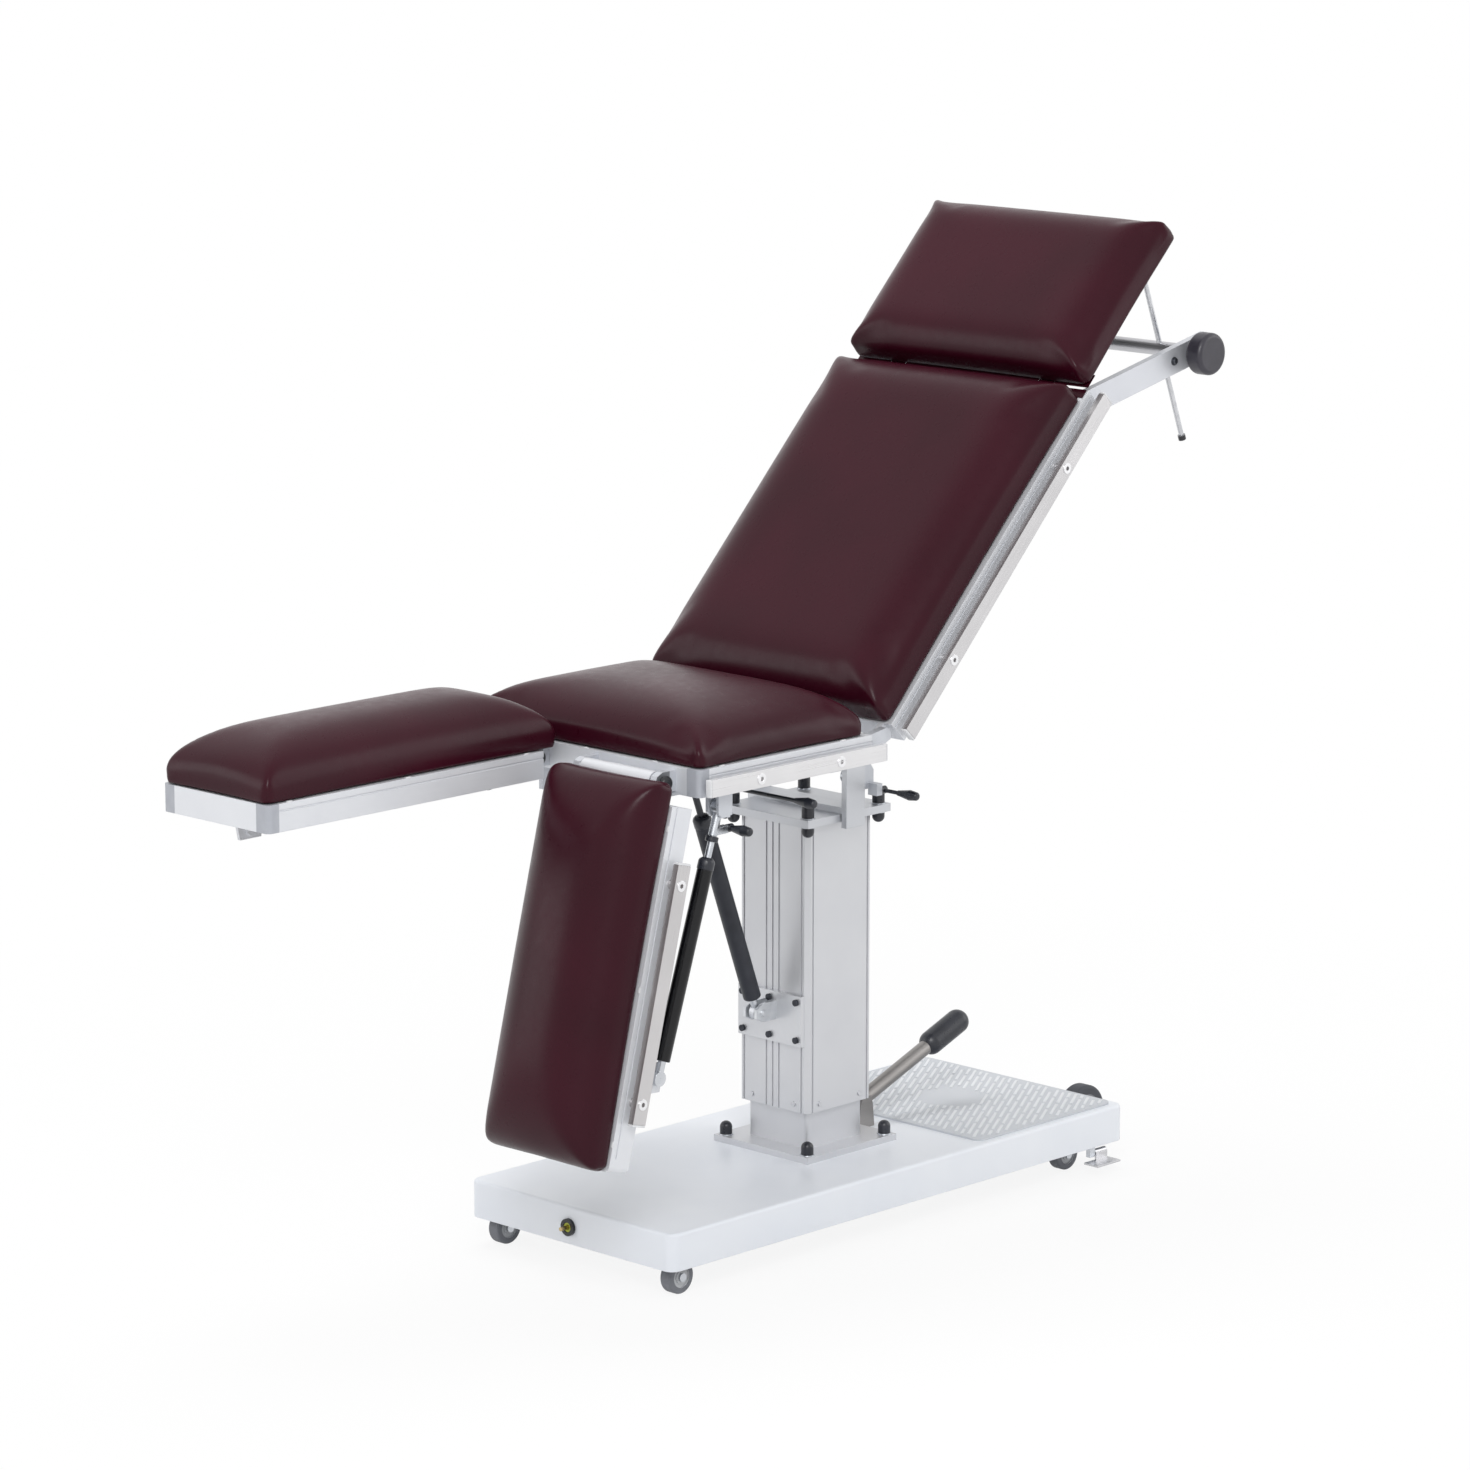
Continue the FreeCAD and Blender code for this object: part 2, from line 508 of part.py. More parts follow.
def corner_piece(x, outer, facing, foot_side):
    """The moulded corner that closes the end of a side bar, its upright outer edge rounded."""
    low = f"{outer} - bar_width" if facing > 0 else outer
    piece = block("corner_length", "bar_width", "frame_height", x, low, "frame_bottom")
    doc.recompute()
    box = piece.Shape.BoundBox
    edge_x = box.XMin if foot_side else box.XMax
    edge_y = box.YMax if facing > 0 else box.YMin
    radius = D.bar_width / 3
    return rounded(piece, radius, lambda edge, middle: is_upright(edge, middle)
                   and abs(middle.x - edge_x) < 0.1 and abs(middle.y - edge_y) < 0.1)


def side_rail(start, end, facing, screws):
    """A rail with its spacers and countersunk collars, on the side that facing gives."""
    low_z = "frame_bottom + rail_lift"
    screw_z = "frame_bottom + rail_lift + rail_height / 2"
    outer = "frame_half + rail_gap"
    rail_y = outer if facing > 0 else f"-({outer}) - rail_thickness"
    gap_y = "frame_half" if facing > 0 else f"-({outer})"
    collar_y = f"{outer} + rail_thickness" if facing > 0 else f"-({outer}) - rail_thickness - collar_depth"
    socket_y = f"{collar_y} + collar_depth - socket_depth" if facing > 0 else collar_y
    rail = block(f"({end}) - ({start})", "rail_thickness", "rail_height", start, rail_y, low_z)
    sockets = [hex_bar("socket_radius", "socket_depth", x, socket_y, screw_z, "y") for x in screws]
    pieces = [cut(rail, fuse(*sockets))]
    for x, socket in zip(screws, sockets):
        pieces.append(round_bar("spacer_radius", "rail_gap", x, gap_y, screw_z, "y"))
        pieces.append(cut(round_bar("collar_radius", "collar_depth", x, collar_y, screw_z, "y"), socket))
    return pieces


def side_rails(start, end, screws):
    """The rails of both sides of a section, with what holds them."""
    return group(*side_rail(start, end, -1, screws), *side_rail(start, end, 1, screws))


def seat_frame():
    pieces = []
    for facing in (-1, 1):
        outer = f"{facing} * frame_half"
        pieces.append(side_bar("seat_front + corner_length", "seat_rear", outer, facing))
        pieces.append(corner_piece("seat_front", outer, facing, True))
    inside = "frame_half - bar_width"
    pieces.append(cross_bar("seat_front", f"-({inside})", inside))
    pieces.append(cross_bar("seat_rear - bar_width", f"-({inside})", inside))
    node("seat_frame", group(*pieces))
    screws = ("seat_screw_front", "seat_screw_rear")
    node("seat_rails", side_rails("seat_rail_start", "seat_rail_end", screws))


def back_frame():
    end = "back_start + back_length"
    inside = "frame_half - bar_width"
    pieces = [side_bar("back_start", end, f"{facing} * frame_half", facing) for facing in (-1, 1)]
    for x in ("back_start", f"{end} - bar_width", "back_spring_far_x - bar_width / 2"):
        pieces.append(cross_bar(x, f"-({inside})", inside))
    pieces += back_hinge_plates()
    pieces += head_hinge_lugs()
    pieces.append(back_spring_lug())
    frame = node("back_frame", group(*pieces))
    screws = ("back_screw_low", "back_screw_high")
    rails = node("back_rails", side_rails("back_rail_start", "back_rail_end", screws))
    for piece in (frame, rails):
        swing_back(piece)


def back_hinge_plates():
    """Plates on the lower corners of the back that turn on the seat's pins."""
    plates = []
    reach = D.back_lug_radius
    x, z = D.back_hinge_x, D.back_hinge_z
    low = D.frame_bottom + 2 * D.slot_drop
    high = D.frame_bottom + D.frame_height
    outline = [(D.back_start, low), (D.back_start, high), (x, high), (x - reach * 0.7, z + reach * 0.2),
               (x - reach * 0.7, z - reach * 0.7), (x, z - reach)]
    for facing in (-1, 1):
        inner = "back_lug_outer - 2 * leg_lug_thickness"
        offset = inner if facing > 0 else f"-({inner}) - leg_lug_thickness + leg_lug_gap"
        plate = outline_plate(outline, "XZ_Plane", "leg_lug_thickness - leg_lug_gap", offset)
        bore = round_bar("back_pin_radius + running_gap", "2 * frame_half", "back_hinge_x", "-frame_half",
                         "back_hinge_z", "y")
        plates.append(cut(plate, bore))
    return plates


def head_hinge_lugs():
    """Lugs on the top bar of the back, each with a pin for a knuckle of the headrest."""
    lugs = []
    end = "back_start + back_length"
    length = "2 * head_lug_width + head_pin_overhang"
    for facing in (-1, 1):
        lug_y = "head_lug_side" if facing > 0 else "-head_lug_side - head_lug_width"
        pin_y = "head_lug_side" if facing > 0 else f"-head_lug_side - ({length})"
        lug = block(f"head_hinge_x + head_lug_radius - ({end})", "head_lug_width", "2 * head_lug_radius", end,
                    lug_y, "head_hinge_z - head_lug_radius")
        pin = round_bar("head_pin_radius", length, "head_hinge_x", pin_y, "head_hinge_z", "y")
        lugs.append(fuse(lug, pin))
    return lugs


def back_spring_lug():
    """A long lug under the middle bar, beside the eye of the back's gas spring."""
    x, z = D.back_spring_far_x, D.back_spring_far_z
    half, low = 2.6 * D.lug_reach, z - 1.2 * D.lug_reach
    outline = [(x - half, D.frame_bottom), (x - half, low + D.lug_reach), (x - half + D.lug_reach, low),
               (x + half - D.lug_reach, low), (x + half, low + D.lug_reach), (x + half, D.frame_bottom)]
    side = "back_spring_y + back_spring_radius + lug_clearance"
    return outline_plate(outline, "XZ_Plane", "lug_thickness", side)


def head_arms():
    """The two flat arms that run back from the top of the back to the headrest's cross bar."""
    slope = math.radians(-D.arm_slope)
    along = (math.cos(slope), math.sin(slope))
    across = (-math.sin(slope), math.cos(slope))
    end_x = D.back_start + D.back_length
    half = D.arm_height / 2

    def beside(distance, offset):
        x = D.bar_x + along[0] * distance + across[0] * offset
        return (x, D.bar_z + along[1] * distance + across[1] * offset)

    tip = D.arm_tip
    low, high = D.frame_bottom + D.arm_inset, D.frame_bottom + D.frame_height - D.arm_inset
    outline = [(end_x, low), (end_x, high), beside(-D.arm_bend_high, half), beside(tip - half / 2, half),
               beside(tip, half / 2), beside(tip, -half / 2), beside(tip - half / 2, -half),
               beside(-D.arm_bend_low, -half)]
    arms = []
    for facing in (-1, 1):
        offset = "arm_outer - arm_thickness" if facing > 0 else "-arm_outer"
        arm = outline_plate(outline, "XZ_Plane", "arm_thickness", offset)
        bore = round_bar("cross_bar_radius + running_gap", "2 * arm_outer + 2 * arm_thickness", "bar_x",
                         "-arm_outer - arm_thickness", "bar_z", "y")
        arms.append(cut(arm, bore))
    swing_back(node("head_arms", group(*arms)))


# Headrest

def head_board():
    top = "frame_bottom + frame_height"
    board = block("head_board_end - head_board_start", "head_board_width", "head_board_thickness",
                  "head_board_start", "-head_board_width / 2", f"{top} - head_board_thickness")
    pieces = [board]
    board_low = D.frame_bottom + D.frame_height - D.head_board_thickness
    reach = D.head_lug_radius
    x, z = D.head_hinge_x, D.head_hinge_z
    root = D.head_board_start + D.knuckle_length
    knuckle = [(x - reach * 0.7, z - reach * 0.7), (x + reach * 0.4, z - reach),
               (root, board_low - D.knuckle_drop), (root, board_low), (D.head_board_start, board_low),
               (x - reach * 0.7, z + reach * 0.7)]
    lug_low = D.prop_z - D.prop_lug_drop
    lug = [(D.prop_x - D.prop_lug_root, board_low), (D.prop_x - D.prop_lug_tip, lug_low),
           (D.prop_x + D.prop_lug_tip, lug_low), (D.prop_x + D.prop_lug_root, board_low)]
    inner = "head_lug_side + head_lug_width + lug_clearance"
    beside = "prop_y + prop_eye_width / 2 + prop_lug_gap"
    for facing in (-1, 1):
        start = inner if facing > 0 else f"-({inner}) - head_lug_width"
        plate = outline_plate(knuckle, "XZ_Plane", "head_lug_width", start)
        bore = round_bar("head_pin_radius + running_gap", "2 * frame_half", "head_hinge_x", "-frame_half",
                         "head_hinge_z", "y")
        pieces.append(cut(plate, bore))
        side = beside if facing > 0 else f"-({beside}) - lug_thickness"
        pieces.append(outline_plate(lug, "XZ_Plane", "lug_thickness", side))
    swing_back(node("head_board", fuse(*pieces)))


def head_cross_bar():
    """The bar between the arms and the two prop rods that pass through it."""
    bar = round_bar("cross_bar_radius", "2 * arm_outer - lug_clearance", "bar_x", "lug_clearance - arm_outer",
                    "bar_z", "y")
    angle = math.degrees(math.atan2(D.prop_z - D.bar_z, D.prop_x - D.bar_x))
    tilt = FreeCAD.Rotation(FreeCAD.Vector(0, -1, 0), angle)
    holes = []
    for facing in (-1, 1):
        bore = round_bar("prop_radius + running_gap", "4 * cross_bar_radius", "-2 * cross_bar_radius", 0, 0, "x")
        hole = group(bore)
        hole.Placement = FreeCAD.Placement(FreeCAD.Vector(D.bar_x, facing * D.prop_y, D.bar_z), tilt)
        holes.append(hole)
    swing_back(node("head_cross_bar", cut(bar, fuse(*holes))))
    rods = []
    for facing in (-1, 1):
        y = f"{facing} * prop_y"
        rod = round_bar("prop_radius", "prop_length", 0, y, 0, "x")
        eye = round_bar("prop_eye_radius", "prop_eye_width", 0, f"{y} - prop_eye_width / 2", 0, "y")
        cap = round_bar("prop_cap_radius", "prop_cap_length", "prop_length", y, 0, "x")
        rods.append(fuse(rod, eye, cap))
    props = node("head_props", group(*rods))
    pivot = swung_point(D.prop_x, D.prop_z, D.back_hinge_x, D.back_hinge_z, D.back_angle)
    turn = FreeCAD.Rotation(FreeCAD.Vector(0, -1, 0), angle + 180.0 + D.back_angle)
    props.Placement = FreeCAD.Placement(FreeCAD.Vector(pivot[0], 0, pivot[1]), turn)


def head_knob():
    face = "-arm_outer - lug_clearance - knob_hub_depth"
    hub = round_bar("knob_hub_radius", "knob_hub_depth", "bar_x", face, "bar_z", "y")
    disc = round_bar("knob_radius", "knob_depth", "bar_x", f"{face} - knob_depth", "bar_z", "y")
    swing_back(node("head_knob", fuse(hub, rounded(disc, D.knob_round, is_ring))))


# Legs

LEG_LOW_Y = {"near": "-frame_half", "far": "frame_half - leg_width"}
LEG_DROP = {"near": D.near_leg_drop, "far": 0.0}
LEG_OUTER = {"near": -1, "far": 1}


def leg_section(side):
    """One leg, drawn level and pointing to the foot end, then dropped about its hinge."""
    low, high = LEG_LOW_Y[side], f"{LEG_LOW_Y[side]} + leg_width"
    head_x = "leg_hinge_x - leg_start"
    foot_x = "leg_hinge_x - leg_start - leg_length"
    pieces = []
    for facing, outer in ((-1, low), (1, high)):
        pieces.append(side_bar(f"{foot_x} + corner_length", head_x, outer, facing))
        pieces.append(corner_piece(foot_x, outer, facing, True))
    for x in (foot_x, f"{head_x} - bar_width"):
        pieces.append(cross_bar(x, f"{low} + bar_width", f"{high} - bar_width"))
    pieces.append(leg_barrel(low))
    pieces.append(leg_spring_lug(side))
    frame = node(f"leg_frame_{side}", group(*pieces))
    start, end = "leg_hinge_x - leg_rail_end", "leg_hinge_x - leg_rail_start"
    rail = side_rail(start, end, LEG_OUTER[side], (f"{start} + leg_screw_inset", f"{end} - leg_screw_inset"))
    rail = node(f"leg_rail_{side}", group(*rail))
    for piece in (frame, rail):
        swing(piece, D.leg_hinge_x, D.leg_hinge_z, LEG_DROP[side])


def leg_barrel(low):
    """The hinge tube of a leg with the web that carries it on the leg's head bar."""
    start = f"{low} + barrel_inset"
    tube = round_bar("barrel_radius", "barrel_length", "leg_hinge_x", start, "leg_hinge_z", "y")
    web = block("leg_start", "barrel_length", "leg_web", "leg_hinge_x - leg_start", start,
                "leg_hinge_z - leg_web / 2")
    bore = round_bar("leg_pin_radius + running_gap", "2 * barrel_length", "leg_hinge_x",
                     f"{start} - barrel_length / 2", "leg_hinge_z", "y")
    return cut(fuse(tube, web), bore)


def leg_spring_lug(side):
    """The lug on a leg's outer bar, beside the lower eye of its gas spring, with its bolt head."""
    x = D.leg_hinge_x - D.leg_spring_reach
    z = D.leg_hinge_z - D.leg_spring_drop
    outline = [(x - 2.2 * D.lug_reach, D.frame_bottom), (x - 1.4 * D.lug_reach, z - D.lug_reach),
               (x + 1.4 * D.lug_reach, z - D.lug_reach), (x + 2.2 * D.lug_reach, D.frame_bottom)]
    inner = "frame_half - leg_spring_inset - spring_tail_width / 2 - lug_clearance"
    facing = LEG_OUTER[side]
    offset = f"{inner} - lug_thickness" if facing > 0 else f"-({inner})"
    lug = outline_plate(outline, "XZ_Plane", "lug_thickness", offset)
    head_y = f"{inner} - lug_thickness - screw_head" if facing > 0 else f"-({inner}) + lug_thickness"
    head = round_bar("leg_bolt_radius", "screw_head", "leg_hinge_x - leg_spring_reach", head_y,
                     "leg_hinge_z - leg_spring_drop", "y")
    return fuse(lug, head)


# Brackets under the seat

def tilt_arm(facing):
    """A bar under the seat with a head on the tilt axle; the near arm also has the lug of the back's spring."""
    low, mid, high = D.axle_height - D.tilt_arm_drop, D.frame_bottom - D.tilt_arm_depth, D.frame_bottom
    step, joint, nose, bevel = high - D.tilt_arm_step, D.tilt_arm_joint, D.tilt_arm_nose, D.tilt_arm_bevel
    front = D.seat_front + D.tilt_arm_inset
    offset = "arm_plate_inner" if facing > 0 else "-arm_plate_inner - arm_plate_thickness"
    bar = [(front, high), (D.seat_rear, high), (D.seat_rear + bevel, step), (joint, step), (joint, mid),
           (front, mid)]
    head = [(joint, step), (nose - bevel, step), (nose, step - bevel), (nose, low + bevel), (nose - bevel, low),
            (D.tilt_arm_neck, low), (joint, mid)]
    bore = round_bar("axle_radius + running_gap", "yoke_span", 0, "-yoke_span / 2", "axle_height", "y")
    pieces = [outline_plate(bar, "XZ_Plane", "arm_plate_thickness", offset),
              cut(outline_plate(head, "XZ_Plane", "arm_plate_thickness", offset), bore)]
    if facing < 0:
        x, z, reach = D.back_spring_x, D.back_spring_z, D.lug_reach
        lug = [(nose, step - bevel), (x + reach, z + reach), (x + reach, z - reach), (x - reach / 2, z - reach),
               (nose, z - reach / 2)]
        pieces.append(outline_plate(lug, "XZ_Plane", "arm_plate_thickness", offset))
    return pieces


def seat_brackets():
    """Tilt arms with the lugs for every hinge and gas spring that starts at the seat."""
    pieces = []
    for facing in (-1, 1):
        pieces += tilt_arm(facing)
    reach = "arm_plate_inner + back_spring_y"
    start = ("back_spring_x", "-arm_plate_inner", "back_spring_z", "y")
    pin = round_bar("spring_pin_radius", f"{reach} + spring_eye_width / 2", *start)
    sleeve = round_bar("spring_eye_radius", f"{reach} - spring_eye_width / 2 - lug_clearance", *start)
    pieces.append(fuse(pin, sleeve))
    pieces.append(block("lever_hub_length", "lever_mount", "lever_mount",
                        "back_lever_x - lever_gap - lever_hub_length", "back_lever_y - lever_hub_radius",
                        "back_lever_z - lever_hub_radius"))
    pieces += tilt_spring_mount()
    for side in ("near", "far"):
        pieces += leg_spring_mount(LEG_OUTER[side])
        pieces += leg_hinge_mount(LEG_LOW_Y[side])
        pieces += back_hinge_mount(LEG_OUTER[side])
    node("seat_brackets", group(*pieces))


def tilt_spring_mount():
    """A cross bar between the tilt arms with two lugs and a pin for the head of the tilt spring."""
    tie = block("2 * (lug_reach + tie_margin)", "2 * arm_plate_inner", "lug_thickness",
                "tilt_spring_x - lug_reach - tie_margin", "-arm_plate_inner", "frame_bottom - lug_thickness")
    x, z, reach = D.tilt_spring_x, D.tilt_spring_z, D.lug_reach
    top = D.frame_bottom - D.lug_thickness
    outline = [(x - reach - D.lug_flare, top), (x - reach, z - reach / 2), (x - reach / 2, z - reach),
               (x + reach / 2, z - reach), (x + reach, z - reach / 2), (x + reach + D.lug_flare, top)]
    lugs = [outline_plate(outline, "XZ_Plane", "lug_thickness", offset)
            for offset in ("lug_gap / 2", "-lug_gap / 2 - lug_thickness")]
    pin = round_bar("spring_pin_radius", "lug_gap + 2 * lug_thickness", "tilt_spring_x",
                    "-lug_gap / 2 - lug_thickness", "tilt_spring_z", "y")
    return [fuse(tie, *lugs, pin)]


def leg_spring_mount(facing):
    """Two lugs and a pin under a side bar for the head of a leg's gas spring."""
    x, z, reach = D.leg_spring_x, D.leg_spring_z, D.lug_reach
    centre = f"{facing} * (frame_half - leg_spring_inset)"
    outline = [(x - reach, D.frame_bottom), (x - reach, z - reach / 2), (x - reach / 2, z - reach),
               (x + reach / 2, z - reach), (x + reach, z - reach / 2), (x + reach, D.frame_bottom)]
    half_gap = "(spring_eye_width / 2 + lug_clearance)"
    lugs = [outline_plate(outline, "XZ_Plane", "lug_thickness", offset)
            for offset in (f"{centre} + {half_gap}", f"{centre} - {half_gap} - lug_thickness")]
    pin = round_bar("spring_pin_radius", f"2 * {half_gap} + 2 * lug_thickness", "leg_spring_x",
                    f"{centre} - {half_gap} - lug_thickness", "leg_spring_z", "y")
    return [fuse(*lugs, pin)]


def leg_hinge_mount(low):
    """Two lugs on the seat's front bar, the hinge pin between them and the cap on its near end."""
    x, z = D.leg_hinge_x, D.leg_hinge_z
    reach = D.barrel_radius
    outline = [(D.seat_front, z - reach), (D.seat_front, z + reach), (x, z + reach),
               (x - reach * 0.7, z + reach * 0.7), (x - reach, z), (x - reach * 0.7, z - reach * 0.7),
               (x, z - reach)]
    first = f"{low} + barrel_inset - leg_lug_gap - leg_lug_thickness"
    second = f"{low} + barrel_inset + barrel_length + leg_lug_gap"
    lugs = [outline_plate(outline, "XZ_Plane", "leg_lug_thickness", offset) for offset in (first, second)]
    pin_length = "barrel_length + 2 * leg_lug_gap + 2 * leg_lug_thickness"
    pin = round_bar("leg_pin_radius", pin_length, "leg_hinge_x", first, "leg_hinge_z", "y")
    cap = round_bar("leg_cap_radius", "leg_cap_length", "leg_hinge_x", f"{first} - leg_cap_length",
                    "leg_hinge_z", "y")
    return [fuse(*lugs, pin), rounded(cap, D.leg_cap_radius / 2, is_ring)]


def back_hinge_mount(facing):
    """The tapered lug at a rear corner of the seat, with the pin of the back's hinge."""
    x, z, reach = D.back_hinge_x, D.back_hinge_z, D.back_lug_radius
    low, high = D.frame_bottom + D.slot_drop, D.frame_bottom + D.frame_height
    outline = [(D.seat_rear, low), (D.seat_rear, high), (x, z + reach), (x + reach * 0.7, z + reach * 0.7),
               (x + reach, z), (x + reach * 0.7, z - reach * 0.7), (x, z - reach)]
    inner = "back_lug_outer - leg_lug_thickness"
    offset = inner if facing > 0 else "-back_lug_outer"
    lug = outline_plate(outline, "XZ_Plane", "leg_lug_thickness", offset)
    pin_y = "back_lug_outer - 2 * leg_lug_thickness" if facing > 0 else "-back_lug_outer"
    pin = round_bar("back_pin_radius", "2 * leg_lug_thickness", "back_hinge_x", pin_y, "back_hinge_z", "y")
    return [fuse(lug, pin)]


# Gas springs and their release levers

def aim(head, tail, y):
    """The placement that turns +X from the head's pivot to the tail's pivot."""
    angle = math.degrees(math.atan2(tail[1] - head[1], tail[0] - head[0]))
    turn = FreeCAD.Rotation(FreeCAD.Vector(0, -1, 0), angle)
    return FreeCAD.Placement(FreeCAD.Vector(head[0], y, head[1]), turn)


def spring_rod(label, head, tail, y, rod_end, tab=None):
    """The rod with its release head, drawn along +X from its pivot, then aimed; a tab may carry a lever."""
    eye = round_bar("spring_eye_radius", "spring_eye_width", 0, "-spring_eye_width / 2", 0, "y")
    neck_length = "spring_neck_end - spring_neck_start"
    neck = round_bar("spring_neck_radius", neck_length, "spring_neck_start", 0, 0, "x")
    rod = round_bar("spring_rod_radius", f"{rod_end} - spring_rod_start", "spring_rod_start", 0, 0, "x")
    bore = round_bar("spring_pin_radius + running_gap", "4 * spring_eye_width", 0, "-2 * spring_eye_width", 0,
                     "y")
    body = cut(fuse(eye, neck, rod), bore)
    body.Placement = aim(head, tail, y)
    node(f"{label}_spring_rod", fuse(body, tab) if tab else body)


def spring_tube(label, head, tail, y, radius, start, bolt=None):
    """The tube with the eye at its far end; its bore runs on the rod. A bolt may reach across to its lug."""
    length = math.dist(head, tail)
    tube_end = f"({length} - spring_end_gap)"
    tube = rounded(round_bar(radius, f"{tube_end} - {start}", start, 0, 0, "x"), D.spring_round, is_ring)
    hollow = round_bar("spring_rod_radius + running_gap", f"{tube_end} - {start} - spring_floor",
                       f"{start} - spring_overlap", 0, 0, "x")
    tail_rod = round_bar("spring_tail_radius", "spring_end_gap", f"{tube_end} - spring_overlap", 0, 0, "x")
    tail_eye = round_bar("spring_eye_radius", "spring_tail_width", length, "-spring_tail_width / 2", 0, "y")
    pieces = [cut(tube, hollow), tail_rod, tail_eye]
    if bolt:
        pieces.append(round_bar("spring_pin_radius", bolt, length, 0, 0, "y"))
    barrel = node(f"{label}_spring_tube", fuse(*pieces))
    barrel.Placement = aim(head, tail, y)


def lever_tab(x, y, z, reach):
    """The block on a spring's head that ends just short of the lever's hub at x."""
    side = "2 * lever_tab_half"
    return block(reach, side, side, f"{x} - lever_gap - {reach}", f"{y} - lever_tab_half",
                 f"{z} - lever_tab_half")


def release_lever(label, x, y, z, length, facing):
    """A thin rod across the table with a leaf-shaped grip, on a hub beside the spring's head."""
    hub = round_bar("lever_hub_radius", "lever_hub_length", x, y, z, "x")
    middle = f"{x} + lever_hub_length / 2"
    reach = f"{length} - grip_cover"
    start = y if facing > 0 else f"{y} - ({reach})"
    rod = round_bar("lever_radius", reach, middle, start, z, "y")
    grip_start = f"{y} + {facing} * ({length} - grip_length)"
    turn = AXIS_TURN["y"] if facing > 0 else FreeCAD.Rotation(FreeCAD.Vector(1, 0, 0), 90)
    swell = taper("grip_thin", "grip_thick", "grip_swell", middle, grip_start, z, turn)
    tip = taper("grip_thick", "grip_tip", "grip_length - grip_swell", middle,
                f"{grip_start} + {facing} * grip_swell", z, turn)

    def at_tip(edge, middle):
        return is_ring(edge, middle) and abs(edge.Curve.Radius - D.grip_tip) < 0.01

    return node(f"{label}_lever", fuse(hub, rod, swell, rounded(tip, D.grip_round, at_tip)))


def leg_springs():
    inset = D.frame_half - D.leg_spring_inset
    head = (D.leg_spring_x, D.leg_spring_z)
    level = (D.leg_hinge_x - D.leg_spring_reach, D.leg_hinge_z - D.leg_spring_drop)
    dropped = swung_point(*level, D.leg_hinge_x, D.leg_hinge_z, D.near_leg_drop)
    closed = D.leg_spring_start
    extended = closed + math.dist(head, level) - math.dist(head, dropped)
    swept = math.degrees(math.atan2(head[1] - dropped[1], head[0] - dropped[0])
                         - math.atan2(head[1] - level[1], head[0] - level[0]))
    lever_x, lever_z = "leg_spring_x + leg_lever_shift", "leg_spring_z - leg_lever_drop"
    for side, tail, start, lift in (("near", dropped, closed, 0.0), ("far", level, extended, swept)):
        y = LEG_OUTER[side] * inset
        tab = group(lever_tab(lever_x, y, lever_z, "leg_tab_length"))
        swing(tab, *head, -lift)
        spring_rod(f"{side}_leg", head, tail, y, "leg_spring_rod", tab)
        spring_tube(f"{side}_leg", head, tail, y, "leg_spring_radius", start)
        lever = release_lever(f"{side}_leg", lever_x, y, lever_z, "leg_lever_length", LEG_OUTER[side])
        swing(lever, *head, -lift)


def tilt_spring():
    head, tail = (D.tilt_spring_x, D.tilt_spring_z), (D.clevis_x, D.clevis_z)
    lever_x, lever_y = "tilt_spring_x + tilt_lever_shift", "tilt_lever_y"
    lever_z = "tilt_spring_z - tilt_lever_drop"
    bridge = block("tilt_tab_length", "tilt_tab_width", "2 * lever_tab_half",
                   f"{lever_x} - lever_gap - tilt_tab_length", "-tilt_tab_width", f"{lever_z} - lever_tab_half")
    tab = fuse(lever_tab(lever_x, lever_y, lever_z, "tilt_tab_length"), bridge)
    spring_rod("tilt", head, tail, 0.0, "tilt_spring_rod", tab)
    spring_tube("tilt", head, tail, 0.0, "tilt_spring_radius", "tilt_spring_start")
    release_lever("tilt", lever_x, lever_y, lever_z, "tilt_lever_length", -1)


def back_spring():
    head = (D.back_spring_x, D.back_spring_z)
    tail = swung_point(D.back_spring_far_x, D.back_spring_far_z, D.back_hinge_x, D.back_hinge_z, D.back_angle)
    spring_rod("back", head, tail, D.back_spring_y, "back_spring_rod")
    spring_tube("back", head, tail, D.back_spring_y, "back_spring_radius", "back_spring_start",
                "back_spring_radius + lug_clearance / 2")
    release_lever("back", "back_lever_x", "back_lever_y", "back_lever_z", "back_lever_length", -1)


# Foot pump

